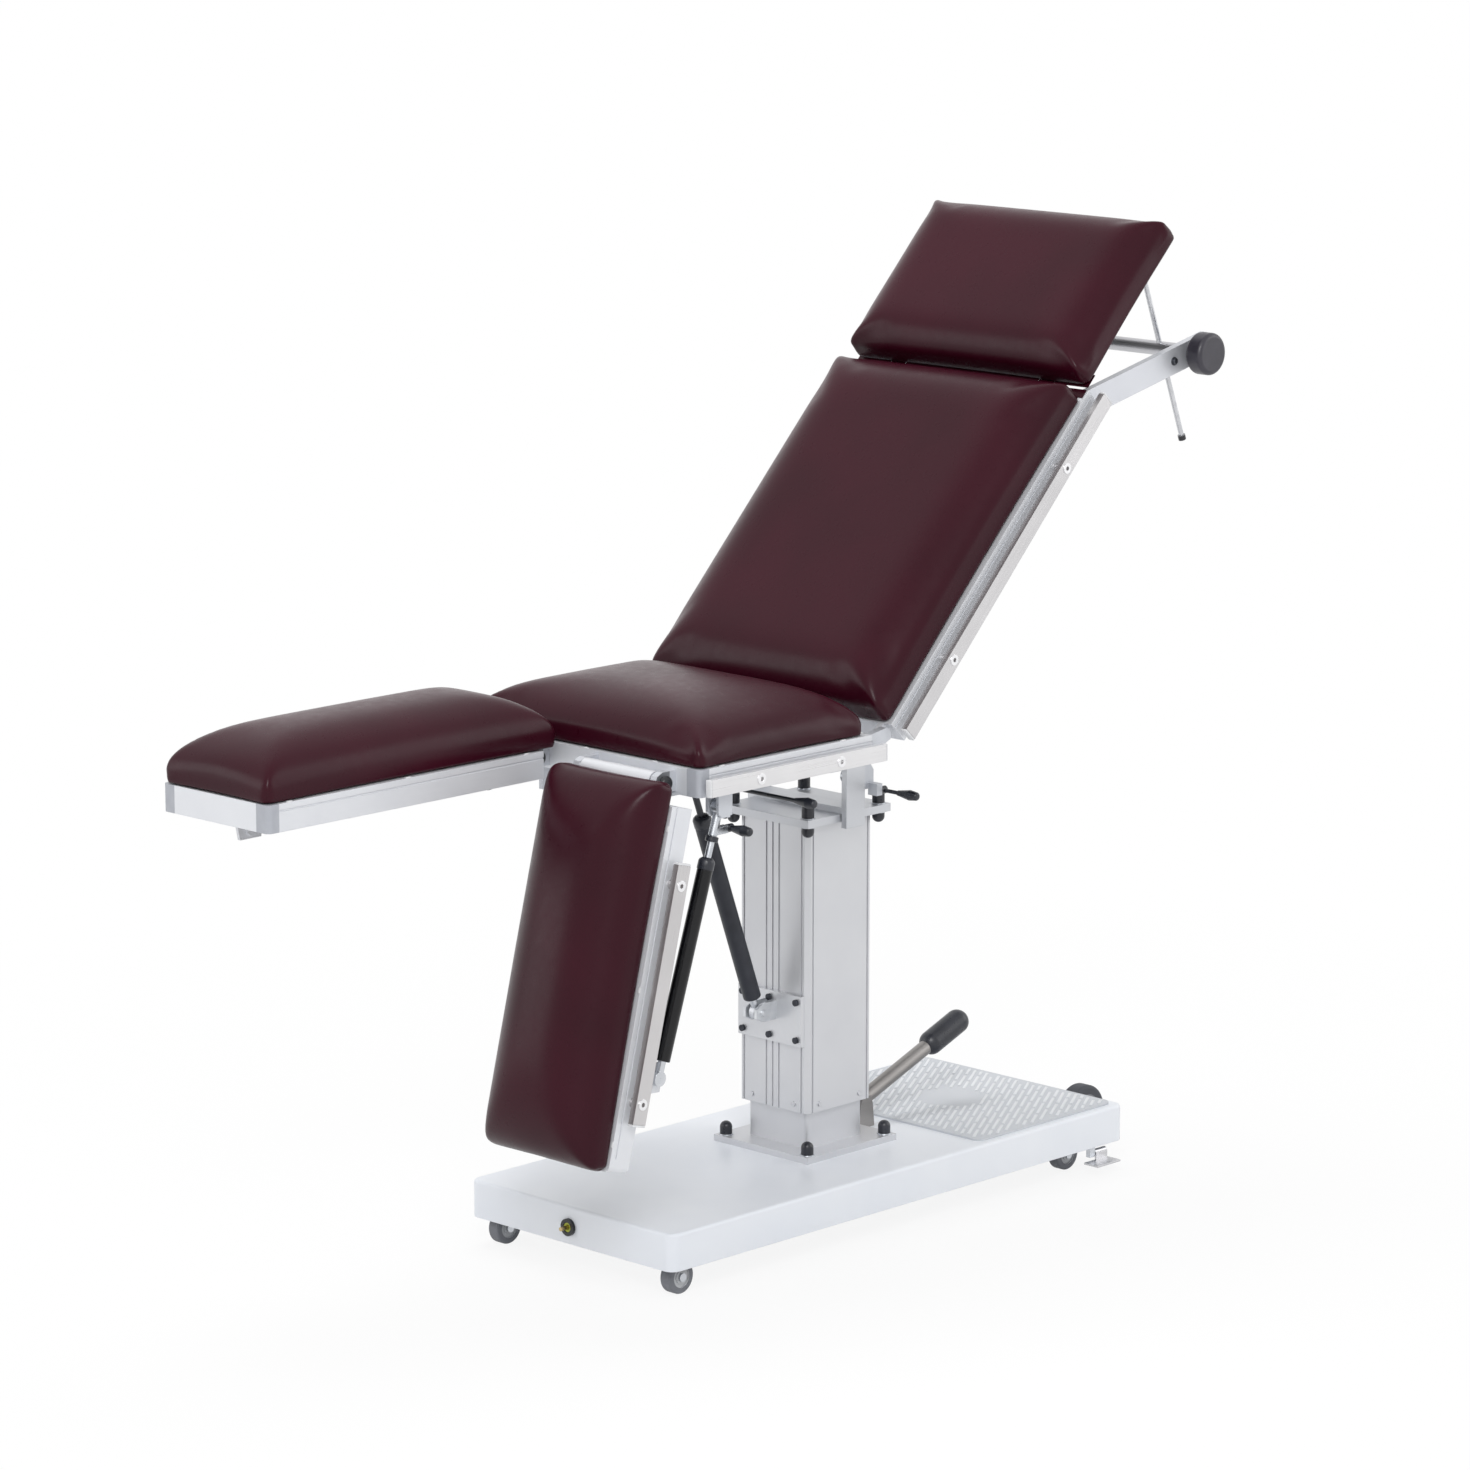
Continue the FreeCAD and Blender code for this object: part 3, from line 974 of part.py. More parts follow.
def foot_pump():
    reach = D.pump_cheek_reach
    base = D.base_clearance + D.base_height
    x, z = D.pump_x, D.pump_z
    outline = [(x - reach, base), (x + reach, base), (x + 0.8 * reach, z), (x + 0.5 * reach, z + 0.8 * reach),
               (x - 0.5 * reach, z + 0.8 * reach), (x - 0.8 * reach, z)]
    inner = "pump_hub_width / 2 + pump_side_gap"
    cheeks = [outline_plate(outline, "XZ_Plane", "pump_cheek", offset)
              for offset in (inner, f"-({inner}) - pump_cheek")]
    pin = round_bar("pump_pin_radius", f"2 * ({inner} + pump_cheek)", "pump_x", f"-({inner}) - pump_cheek",
                    "pump_z", "y")
    node("pump_bracket", fuse(*cheeks, pin))
    hub = round_bar("pump_hub_radius", "pump_hub_width", 0, "-pump_hub_width / 2", 0, "y")
    tube = round_bar("pump_tube_radius", "pump_tube_length - pump_tube_start", "pump_tube_start", 0, 0, "x")
    bore = round_bar("pump_pin_radius + running_gap", "2 * pump_hub_width", 0, "-pump_hub_width", 0, "y")
    lever = node("pump_lever", cut(fuse(hub, tube), bore))
    grip = round_bar("pump_grip_radius", "pump_grip_length", "pump_grip_start", 0, 0, "x")
    socket = round_bar("pump_tube_radius", "pump_tube_length", 0, 0, 0, "x")
    grip = node("pump_grip", cut(rounded(grip, D.pump_grip_round, is_ring), socket))
    turn = FreeCAD.Rotation(FreeCAD.Vector(0, -1, 0), D.pump_angle)
    for piece in (lever, grip):
        piece.Placement = FreeCAD.Placement(FreeCAD.Vector(D.pump_x, 0, D.pump_z), turn)


# Castors

def castor_fork(wheel_x, wheel_y, stem_x):
    """One cheek, a crown, the headed axle that the wheel turns on and a stem up to the beam."""
    inner = "(wheel_width / 2 + fork_gap)"
    low_y = f"{wheel_y} - {inner}"
    length = f"({wheel_x}) - ({stem_x}) + 2 * fork_half_length"
    cheek_low = "wheel_radius - 2 * wheel_pin_radius"
    crown = block(length, f"2 * {inner} + 2 * fork_cheek", "fork_cheek", f"{stem_x} - fork_half_length",
                  f"{low_y} - fork_cheek", "fork_top - fork_cheek")
    cheek = block("2 * fork_half_length", "fork_cheek", f"fork_top - ({cheek_low})",
                  f"{wheel_x} - fork_half_length", f"{wheel_y} + {inner}", cheek_low)
    axle = round_bar("wheel_pin_radius", f"2 * {inner} + fork_cheek", wheel_x, low_y, "wheel_radius", "y")
    head = round_bar("axle_head_radius", "axle_head", wheel_x, f"{low_y} - axle_head", "wheel_radius", "y")
    stem = round_bar("stem_radius", f"{BEAM_LOW} - fork_top", stem_x, wheel_y, "fork_top")
    return fuse(crown, cheek, axle, head, stem)


def roller_fork():
    """Two cranked plates that pass under the pan's end wall and carry the axle of the head-end roller."""
    beam_low = D.base_clearance + D.base_height - D.base_wall - D.beam_height
    x, z, lug = D.roller_x, D.roller_radius, D.roller_lug
    low, high, under = z - lug, z + D.roller_arm_rise, D.base_clearance - D.roller_pan_gap
    end = D.base_length / 2 + D.roller_wall_gap
    root = D.rear_swivel_x + D.beam_width / 2
    foot, step, drop = root - D.roller_foot, root + D.roller_step, beam_low - D.roller_drop
    outline = [(foot, beam_low), (foot, low), (x + D.roller_arm_rise, low), (x + lug, z), (x + lug / 2, high),
               (end, high), (end, under), (step, under), (step, drop), (root, drop), (root, beam_low)]
    inner = "roller_width / 2 + roller_plate_gap"
    plates = [outline_plate(outline, "XZ_Plane", "roller_plate", offset)
              for offset in (f"roller_y + {inner}", f"roller_y - ({inner}) - roller_plate")]
    axle = round_bar("wheel_pin_radius", f"2 * ({inner})", "roller_x", f"roller_y - ({inner})",
                     "roller_radius", "y")
    return [*plates, axle]


def castors():
    fixed = [castor_fork("front_wheel_x", f"{side} * front_wheel_y", "front_wheel_x") for side in (-1, 1)]
    node("fixed_forks", group(*fixed, *roller_fork(), *[pedal_bracket(side) for side in (-1, 1)]))
    roller = wheel("roller_radius", "roller_width", D.roller_round, "roller_x", "roller_y", "roller_hub",
                   "roller_rim")
    node("head_roller", roller)
    for name, side in (("near", -1), ("far", 1)):
        for end in ("front", "rear"):
            castor = wheel("wheel_radius", "wheel_width", D.wheel_round, f"{end}_wheel_x",
                           f"{side} * {end}_wheel_y", "wheel_hub", "wheel_rim")
            node(f"{end}_wheel_{name}", castor)
        node(f"rear_fork_{name}", castor_fork("rear_wheel_x", f"{side} * rear_wheel_y", "rear_swivel_x"))
        brake_pedal(name, side)


PEDAL_SLEEVE_X = "pedal_bracket_x + pedal_bracket_length + lever_gap"


def pedal_bracket(side):
    """A block inside the pan's side wall with the pin that a brake pedal turns on."""
    wall = "base_width / 2 - base_wall"
    low_y = f"{wall} - pedal_bracket_width" if side > 0 else f"-({wall})"
    bracket = block("pedal_bracket_length", "pedal_bracket_width", "pedal_bracket_height", "pedal_bracket_x",
                    low_y, "pedal_pin_z - 2 * pedal_pin_radius")
    length = "pedal_sleeve + 2 * lever_gap + pedal_bracket_length"
    pin = round_bar("pedal_pin_radius", length, "pedal_bracket_x", f"{side} * pedal_pin_y", "pedal_pin_z", "x")
    return fuse(bracket, pin)


def brake_pedal(name, side):
    """Pressed sheet: a sleeve on the pin, a drop under the pan's edge and the tread outside it."""
    pin_y, face = f"{side} * pedal_pin_y", "pedal_pin_y + pedal_pin_radius"
    sleeve = round_bar("pedal_sleeve_radius", "pedal_sleeve", PEDAL_SLEEVE_X, pin_y, "pedal_pin_z", "x")
    drop_y = face if side > 0 else f"-({face}) - pedal_sheet"
    drop = block("pedal_sleeve", "pedal_sheet", "pedal_pin_z - pedal_height", PEDAL_SLEEVE_X, drop_y,
                 "pedal_height")
    tread_y = face if side > 0 else f"-({face}) - pedal_depth"
    tread = block("pedal_length", "pedal_depth", "pedal_sheet", "pedal_start", tread_y, "pedal_height")
    bore = round_bar("pedal_pin_radius + running_gap", "3 * pedal_sleeve", f"{PEDAL_SLEEVE_X} - pedal_sleeve",
                     pin_y, "pedal_pin_z", "x")
    node(f"brake_pedal_{name}", cut(fuse(sleeve, drop, tread), bore))


# Cushions

def cushion(label, start, end, low, high, edge, crown):
    """A crowned pad on top of a frame: sections across it, lower and narrower towards the ends."""
    length, width = end - start, high - low
    middle = (low + high) / 2
    floor = D.frame_bottom + D.frame_height
    wires = []
    for place in cushion_stations(length):
        nearest = min(place, length - place)
        lift, squeeze = end_rounding(nearest)
        bow = math.sin(math.pi * place / length)
        half = width / 2 - squeeze - D.cushion_swell - D.cushion_draw * bow
        rise = crown * lift * (0.9 + 0.1 * bow)
        wires.append(cushion_section(start + place, middle, floor, half, edge * lift, rise))
    pad = doc.addObject("Part::Feature", label)
    pad.Shape = Part.makeLoft(wires, True, True)
    return node(label, pad)


def cushion_stations(length):
    """Where the sections stand: close together over the rounded ends, wide apart between them."""
    end = [share * D.cushion_round for share in (0.0, 0.06, 0.22, 0.5, 1.0)]
    middle = [length * share for share in (0.25, 0.5, 0.75)]
    return end + middle + [length - place for place in reversed(end)]


def end_rounding(distance):
    """How high a section is, as a share of the full height, and how far its sides are pulled in near an end."""
    drop, pull = quarter_round(distance, D.cushion_round), quarter_round(distance, D.cushion_corner)
    return 1.0 - (1.0 - D.cushion_end_share) * drop, D.cushion_end_pull * pull


def quarter_round(distance, reach):
    """1 at an end, falling to 0 at the reach along a quarter of a circle."""
    left = max(1.0 - distance / reach, 0.0)
    return 1.0 - math.sqrt(1.0 - left ** 2)


def cushion_section(x, y, z, half, edge, crown):
    def at(across, up):
        return FreeCAD.Vector(x, y + across, z + up)

    shoulder = half - D.cushion_shoulder
    base = Part.LineSegment(at(-half, 0), at(half, 0))
    right = Part.Arc(at(half, 0), at(half + D.cushion_swell, edge * 0.5), at(shoulder, edge))
    top = Part.Arc(at(shoulder, edge), at(0, crown), at(-shoulder, edge))
    left = Part.Arc(at(-shoulder, edge), at(-half - D.cushion_swell, edge * 0.5), at(-half, 0))
    return Part.Wire([curve.toShape() for curve in (base, right, top, left)])


def cushions():
    half = D.frame_half - D.cushion_inset
    cushion("seat_cushion", D.seat_cushion_start, D.seat_cushion_end, -half, half, D.seat_edge, D.seat_crown)
    swing_back(cushion("back_cushion", D.back_cushion_start, D.back_cushion_end, -half, half, D.back_edge,
                       D.back_crown))
    swing_back(cushion("head_cushion", D.head_cushion_start, D.head_cushion_end, -half, half, D.head_edge,
                       D.head_crown))
    leg_start, leg_end = D.leg_hinge_x - D.leg_cushion_end, D.leg_hinge_x - D.leg_cushion_start
    inner = D.frame_half - D.leg_width + D.cushion_inset
    for side, low, high in (("near", -half, -inner), ("far", inner, half)):
        pad = cushion(f"leg_cushion_{side}", leg_start, leg_end, low, high, D.leg_edge, D.leg_crown)
        swing(pad, D.leg_hinge_x, D.leg_hinge_z, LEG_DROP[side])


def build():
    base_pan()
    base_beams()
    tread_mat()
    bonding_pin()
    column_inner()
    cap_nuts()
    lift_cylinder()
    column_outer()
    yoke()
    tilt_clevis_plate()
    column_screws()
    seat_frame()
    seat_brackets()
    back_frame()
    head_arms()
    head_board()
    head_cross_bar()
    head_knob()
    leg_section("near")
    leg_section("far")
    leg_springs()
    tilt_spring()
    back_spring()
    foot_pump()
    castors()
    cushions()
    doc.recompute()


def check_and_write():
    for obj in doc.Objects:
        if "Invalid" in obj.State or "Error" in obj.State:
            raise RuntimeError(f"{obj.Name} ({obj.Label}) failed: {obj.State}")
    os.makedirs("parts", exist_ok=True)
    for part in SUB_PARTS:
        shape = part.Shape
        if shape.isNull() or not shape.isValid():
            raise RuntimeError(f"{part.Label} has no valid shape")
        shape.exportStep(os.path.join("parts", f"{part.Label}.step"))
        print(f"{part.Label}: {len(shape.Solids)} solids, {shape.Volume / 1000:.1f} cm3")
    print(len(SUB_PARTS), "nodes")


build()
check_and_write()
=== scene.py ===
import json
import math

import bmesh
import bpy
import numpy as np
from mathutils import Matrix, Vector


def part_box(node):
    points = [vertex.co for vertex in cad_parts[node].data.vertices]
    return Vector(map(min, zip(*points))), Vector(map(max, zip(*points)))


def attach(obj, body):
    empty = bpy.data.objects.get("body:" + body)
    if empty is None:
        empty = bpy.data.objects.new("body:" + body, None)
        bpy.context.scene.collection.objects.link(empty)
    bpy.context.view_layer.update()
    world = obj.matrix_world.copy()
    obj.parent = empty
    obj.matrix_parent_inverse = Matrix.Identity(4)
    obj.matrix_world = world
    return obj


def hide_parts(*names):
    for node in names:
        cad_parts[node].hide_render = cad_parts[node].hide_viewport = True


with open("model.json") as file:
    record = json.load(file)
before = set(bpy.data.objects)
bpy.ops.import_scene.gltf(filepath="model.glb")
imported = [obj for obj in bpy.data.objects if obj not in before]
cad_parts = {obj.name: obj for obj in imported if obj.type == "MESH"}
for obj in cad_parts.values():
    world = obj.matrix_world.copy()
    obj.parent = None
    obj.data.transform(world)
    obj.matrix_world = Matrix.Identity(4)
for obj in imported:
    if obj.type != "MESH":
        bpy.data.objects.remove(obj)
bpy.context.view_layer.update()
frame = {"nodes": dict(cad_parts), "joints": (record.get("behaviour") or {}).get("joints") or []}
MM = 0.001

# The three places that the sections have at rest, read from the joints
JOINTS = {joint["name"]: joint for joint in frame["joints"]}
LEVEL = ((0.0, 0.0, 0.0), 0.0)
BACK = (JOINTS["back_hinge"]["pos_m"], math.radians(JOINTS["back_hinge"]["range_deg"][0]))
LEG_DOWN = (JOINTS["leg_near_hinge"]["pos_m"], -math.radians(JOINTS["leg_near_hinge"]["range_deg"][1]))
ACROSS = (0, 1, 0)


def placing(place):
    """The matrix that takes a section from lying flat to its place at rest."""
    hinge, turn = place
    pivot = Matrix.Translation(Vector(hinge))
    return pivot @ Matrix.Rotation(turn, 4, "Y") @ pivot.inverted()


def flat_points(node, place):
    """A node's vertices with its section lying flat."""
    back_to_flat = np.array(placing(place).inverted())
    vertices = frame["nodes"][node].data.vertices
    points = np.empty(len(vertices) * 3)
    vertices.foreach_get("co", points)
    return points.reshape(-1, 3) @ back_to_flat[:3, :3].T + back_to_flat[:3, 3]


def middle_of(node):
    low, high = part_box(node)
    return (Vector(low) + Vector(high)) / 2


SPRINGS = ("near_leg", "far_leg", "tilt", "back")


def spring_line(name):
    """Where a gas spring's rod turns, and the direction from there to its tube."""
    return Vector(JOINTS[f"{name}_spring_turn"]["pos_m"]), Vector(JOINTS[f"{name}_spring_slide"]["axis"])


# Materials

class Look:
    """One procedural material, with short names for the nodes that feed its shader."""

    def __init__(self, name, place=LEVEL, edge=0.0, **constants):
        self.material = bpy.data.materials.new(name)
        self.material.use_nodes = True
        self.tree = self.material.node_tree
        self.shader = self.tree.nodes["Principled BSDF"]
        for socket, value in constants.items():
            self.shader.inputs[socket.replace("_", " ")].default_value = value
        self.spot = self.node("ShaderNodeTexCoord").outputs["Object"]
        if place is not LEVEL:
            settings = {"vector_type": "TEXTURE"}
            inputs = {"Vector": self.spot, "Location": place[0], "Rotation": (0, place[1], 0)}
            self.spot = self.node("ShaderNodeMapping", settings, **inputs).outputs[0]
        self.eased = self.node("ShaderNodeBevel", {"samples": 4}, Radius=edge).outputs[0] if edge else None

    def node(self, kind, settings=None, **inputs):
        made = self.tree.nodes.new(kind)
        for name, value in (settings or {}).items():
            setattr(made, name, value)
        for name, value in inputs.items():
            self.feed(made.inputs[name], value)
        return made

    def feed(self, socket, value):
        if isinstance(value, bpy.types.NodeSocket):
            self.tree.links.new(value, socket)
        else:
            socket.default_value = value

    def noise(self, scale, detail=3.0, stretch=(1, 1, 1)):
        """A noise of that many spots per metre, drawn out along an axis by a stretch above 1."""
        spot = self.spot
        if stretch != (1, 1, 1):
            settings = {"vector_type": "TEXTURE"}
            spot = self.node("ShaderNodeMapping", settings, Vector=spot, Scale=stretch).outputs[0]
        return self.node("ShaderNodeTexNoise", Vector=spot, Scale=scale, Detail=detail).outputs["Fac"]

    def cells(self, scale):
        return self.node("ShaderNodeTexVoronoi", Vector=self.spot, Scale=scale).outputs["Distance"]

    def spread(self, value, low, high, start=0.3, end=0.7):
        """The value between start and end, carried over to low and high."""
        inputs = {"Value": value, "From Min": start, "From Max": end, "To Min": low, "To Max": high}
        return self.node("ShaderNodeMapRange", **inputs).outputs["Result"]

    def mix(self, share, first, second):
        made = self.node("ShaderNodeMix", {"data_type": "RGBA"})
        self.feed(made.inputs["Factor"], share)
        for socket, value in (("A", first), ("B", second)):
            self.feed([s for s in made.inputs if s.name == socket and s.type == "RGBA"][0], value)
        return [s for s in made.outputs if s.type == "RGBA"][0]

    def maths(self, operation, *values):
        made = self.node("ShaderNodeMath", {"operation": operation})
        for socket, value in zip(made.inputs, values):
            self.feed(socket, value)
        return made.outputs[0]

    def vector(self, operation, *values):
        made = self.node("ShaderNodeVectorMath", {"operation": operation})
        for socket, value in zip(made.inputs, values):
            self.feed(socket, value)
        return made

    def along(self, direction, origin=(0, 0, 0)):
        """How far a point lies from the origin along a direction."""
        moved = self.vector("SUBTRACT", self.spot, origin).outputs[0]
        return self.vector("DOT_PRODUCT", moved, direction).outputs["Value"]

    def from_line(self, origin, direction):
        """How far a point lies from a line."""
        moved = self.vector("SUBTRACT", self.spot, origin).outputs[0]
        crossed = self.vector("CROSS_PRODUCT", moved, direction).outputs[0]
        return self.vector("LENGTH", crossed).outputs["Value"]

    def beyond(self, value, edge, soft=0.0003):
        """0 below an edge and 1 above it."""
        return self.spread(value, 0.0, 1.0, edge - soft, edge + soft)

    def both(self, first, second):
        return self.maths("MULTIPLY", first, second)

    def bump(self, height, depth):
        made = self.node("ShaderNodeBump", Height=height, Distance=depth)
        if self.eased:
            self.feed(made.inputs["Normal"], self.eased)
        self.feed(self.shader.inputs["Normal"], made.outputs[0])

    def colour(self, value):
        self.feed(self.shader.inputs["Base Color"], value)

    def roughness(self, value):
        self.feed(self.shader.inputs["Roughness"], value)

    def metallic(self, value):
        self.feed(self.shader.inputs["Metallic"], value)


def shade(red, green, blue):
    """A colour written as it looks on a screen, 0 to 255."""
    linear = []
    for level in (red, green, blue):
        share = level / 255
        linear.append(share / 12.92 if level <= 10 else ((share + 0.055) / 1.055) ** 2.4)
    return (*linear, 1.0)


EASED = 0.0008


def vinyl_look():
    """Smooth upholstery vinyl: a fine grain and slow changes of tone."""
    look = Look("burgundy_vinyl", Specular_IOR_Level=0.18)
    tone = look.spread(look.noise(6, 2), 0, 1)
    look.colour(look.mix(tone, shade(47, 6, 20), shade(54, 8, 24)))
    grain = look.maths("MULTIPLY_ADD", look.cells(950), 0.2, look.maths("MULTIPLY", look.noise(70, 4), 0.8))
    look.roughness(look.spread(grain, 0.26, 0.34))
    look.bump(look.noise(260, 3), 0.00003)
    return look.material


def paint_look(name, light, dark, rough=(0.28, 0.36)):
    """Powder coat or rubber: a fine orange peel, and small changes of tone and gloss."""
    look = Look(name, edge=EASED, Specular_IOR_Level=0.35)
    look.colour(look.mix(look.spread(look.noise(5, 4), 0, 1), dark, light))
    look.roughness(look.spread(look.noise(22, 4), *rough))
    look.bump(look.noise(420, 2), 0.00008)
    return look.material


def brushed(look, light, dark, rough, stretch):
    """Fine strokes along one direction under slow clouds; returns the colour."""
    strokes, clouds = look.noise(520, 2, stretch), look.noise(9, 3)
    tone = look.maths("MULTIPLY_ADD", strokes, 0.2, look.maths("MULTIPLY", clouds, 0.8))
    look.roughness(look.spread(strokes, *rough))
    look.bump(strokes, 0.00002)
    return look.mix(look.spread(tone, 0, 1), dark, light)


def brushed_look(name, place, light, dark, rough=(0.32, 0.42), metallic=0.7, stretch=(60, 1, 1)):
    look = Look(name, place, EASED, Metallic=metallic)
    look.colour(brushed(look, light, dark, rough, stretch))
    return look.material


def metal_look(name, light, dark, rough, spots=110):
    """Plated metal with a soft, cloudy sheen."""
    look = Look(name, edge=EASED, Metallic=1.0)
    mottle = look.noise(spots, 4)
    look.colour(look.mix(look.spread(mottle, 0, 1), dark, light))
    look.roughness(look.spread(look.noise(spots * 2, 3), *rough))
    look.bump(mottle, 0.00002)
    return look.material


def plastic_look(name, light, dark, rough, grain=700):
    """Moulded plastic or stove paint with a fine grain."""
    look = Look(name, edge=EASED)
    look.colour(look.mix(look.spread(look.noise(38, 3), 0, 1), dark, light))
    look.roughness(look.spread(look.noise(130, 3), *rough))
    look.bump(look.noise(grain, 2), 0.00005)
    return look.material


PROFILE_LIGHT, PROFILE_DARK = shade(227, 229, 233), shade(219, 221, 226)
MOULDED_LIGHT, MOULDED_DARK = shade(176, 179, 186), shade(168, 171, 179)


def frame_look(name, place, end, middle_y, half_y):
    """A section frame of pale satin profile, with moulded plastic corners beyond its end, near both sides."""
    corner_width = 25 * MM
    look = Look(name, place, EASED)
    metal = brushed(look, PROFILE_LIGHT, PROFILE_DARK, (0.34, 0.44), (60, 1, 1))
    outward = look.maths("ABSOLUTE", look.along(ACROSS, (0, middle_y, 0)))
    corner = look.both(look.beyond(look.along((-1, 0, 0)), -end), look.beyond(outward, half_y - corner_width))
    moulded = look.mix(look.spread(look.noise(60, 3), 0, 1), MOULDED_DARK, MOULDED_LIGHT)
    look.colour(look.mix(corner, metal, moulded))
    look.metallic(look.spread(corner, 0.25, 0.0, 0, 1))
    return look.material


def rail_look(name, place, light, dark):
    """A brushed stainless rail, with brighter screw collars on its outer face."""
    outer_face = 260.15 * MM
    look = Look(name, place, EASED, Metallic=0.85)
    metal = brushed(look, light, dark, (0.26, 0.38), (80, 1, 1))
    outward = look.maths("ABSOLUTE", look.along(ACROSS))
    collar = look.beyond(outward, outer_face)
    look.colour(look.mix(collar, metal, shade(236, 236, 238)))
    return look.material


def wheel_look(name, node, rim, tyre, hub):
    """A grey tyre on a lighter hub, told apart by the distance from the axle."""
    look = Look(name, edge=EASED)
    outside = look.beyond(look.from_line(middle_of(node), ACROSS), rim)
    patches = look.spread(look.noise(45, 4), 0, 1)
    scuffed = look.mix(patches, tyre, [c * 1.2 for c in tyre[:3]] + [1])
    moulded = look.mix(patches, hub, [c * 0.92 for c in hub[:3]] + [1])
    look.colour(look.mix(outside, moulded, scuffed))
    look.roughness(look.spread(outside, 0.36, 0.6, 0, 1))
    look.bump(look.noise(520, 3), 0.00008)
    return look.material


def bracket_look():
    """Pale painted steel under the seat, with black plastic caps on the hinge pins of the legs."""
    hinge_start, near_cap, far_cap = -485 * MM, (-207 * MM, -193.9 * MM), (51 * MM, 63.6 * MM)
    look = Look("pale_brackets", edge=EASED)
    steel = look.mix(look.spread(look.noise(12, 4), 0, 1), shade(196, 199, 205), shade(208, 211, 217))
    hinge = look.beyond(look.along((-1, 0, 0)), -hinge_start)
    near, far = (look.both(look.beyond(look.along((0, -1, 0)), -end), look.beyond(look.along(ACROSS), start))
                 for start, end in (near_cap, far_cap))
    cap = look.both(hinge, look.maths("MAXIMUM", near, far))
    look.colour(look.mix(cap, steel, shade(30, 31, 35)))
    look.roughness(look.spread(look.noise(60, 3), 0.34, 0.44))
    look.metallic(look.spread(cap, 0.35, 0.0, 0, 1))
    look.bump(look.noise(420, 2), 0.00005)
    return look.material


def clevis_look():
    """The plate in the column's finish and the clevis in front of it in bright zinc."""
    plate_face = -78.7 * MM
    look = Look("clevis_plate", edge=EASED, Metallic=0.7)
    plate = brushed(look, COLUMN_LIGHT, COLUMN_DARK, (0.32, 0.42), (1, 1, 60))
    clevis = look.beyond(look.along((-1, 0, 0)), -plate_face)
    bright = look.mix(look.spread(look.noise(70, 3), 0, 1), shade(226, 228, 231), shade(208, 211, 215))
    look.colour(look.mix(clevis, plate, bright))
    return look.material


def screw_look():
    """Dark socket screws on the clevis plate and pale guide screws in the column."""
    head_start = -78.4 * MM
    look = Look("column_screws", edge=EASED, Metallic=0.8)
    dark = look.beyond(look.along((-1, 0, 0)), -head_start)
    mottle = look.spread(look.noise(160, 3), 0, 1)
    pale = look.mix(mottle, shade(196, 197, 201), shade(212, 213, 216))
    look.colour(look.mix(dark, pale, look.mix(mottle, shade(52, 54, 60), shade(70, 72, 78))))
    look.roughness(look.spread(mottle, 0.3, 0.42, 0, 1))
    look.bump(look.noise(400, 2), 0.00002)
    return look.material


def spring_look(name, light, dark, rough):
    """A gas spring's black tube, with the eye at its far end zinc plated."""
    eye_length = 36.5 * MM
    look = Look(f"{name}_tube", edge=EASED, Specular_IOR_Level=0.35)
    origin, toward = spring_line(name)
    reach = (flat_points(f"{name}_spring_tube", LEVEL) - np.array(origin)) @ np.array(toward)
    eye = look.beyond(look.along(toward, origin), reach.max() - eye_length)
    clouds = look.spread(look.noise(38, 3), 0, 1)
    black = look.mix(clouds, dark, light)
    plated = look.mix(clouds, shade(196, 199, 204), shade(212, 214, 218))
    look.colour(look.mix(eye, black, plated))
    look.metallic(eye)
    look.roughness(look.spread(look.noise(130, 3), *rough))
    look.bump(look.noise(420, 2), 0.00003)
    return look.material


def prop_look():
    """Bright prop rods with dark caps on their lower ends."""
    cap_length = 8 * MM
    look = Look("prop_rods", edge=EASED, Metallic=0.9)
    down = -Vector(JOINTS["head_prop_slide"]["axis"])
    reach = flat_points("head_props", LEVEL) @ np.array(down)
    cap = look.beyond(look.along(down), reach.max() - cap_length)
    mottle = look.spread(look.noise(110, 3), 0, 1)
    bright = look.mix(mottle, shade(196, 197, 201), shade(214, 215, 218))
    look.colour(look.mix(cap, bright, shade(40, 40, 44)))
    look.metallic(look.spread(cap, 0.9, 0.0, 0, 1))
    look.roughness(look.spread(mottle, 0.16, 0.26, 0, 1))
    look.bump(look.noise(300, 2), 0.00002)
    return look.material


def bonding_look():
    """A black plastic ring and a brass pin."""
    ring_radius = 5 * MM
    look = Look("bonding_socket", edge=EASED)
    centre = middle_of("bonding_pin")
    ring = look.beyond(look.from_line(centre, (1, 0, 0)), ring_radius)
    brass = look.mix(look.spread(look.noise(300, 3), 0, 1), shade(186, 164, 116), shade(204, 184, 140))
    look.colour(look.mix(ring, brass, shade(34, 35, 38)))
    look.metallic(look.spread(ring, 1.0, 0.0, 0, 1))
    look.roughness(look.spread(look.noise(200, 3), 0.25, 0.4))
    look.bump(look.noise(700, 2), 0.00004)
    return look.material


def cover_look():
    """Black woven cover cloth under the cushions."""
    look = Look("cover_cloth", Specular_IOR_Level=0.2)
    threads = 160
    wefts, warps = (look.node("ShaderNodeTexWave", {"bands_direction": axis}, Vector=look.spot, Scale=threads)
                    for axis in "XY")
    weave = look.maths("MAXIMUM", wefts.outputs["Fac"], warps.outputs["Fac"])
    look.colour(look.mix(weave, shade(24, 24, 26), shade(46, 46, 50)))
    look.roughness(look.spread(look.noise(30, 3), 0.8, 0.95))
    look.bump(weave, 0.0002)
    return look.material


def dress(material, *nodes):
    """Gives a material to CAD nodes through their objects' slots."""
    for node in nodes:
        for slot in frame["nodes"][node].material_slots:
            slot.material = material


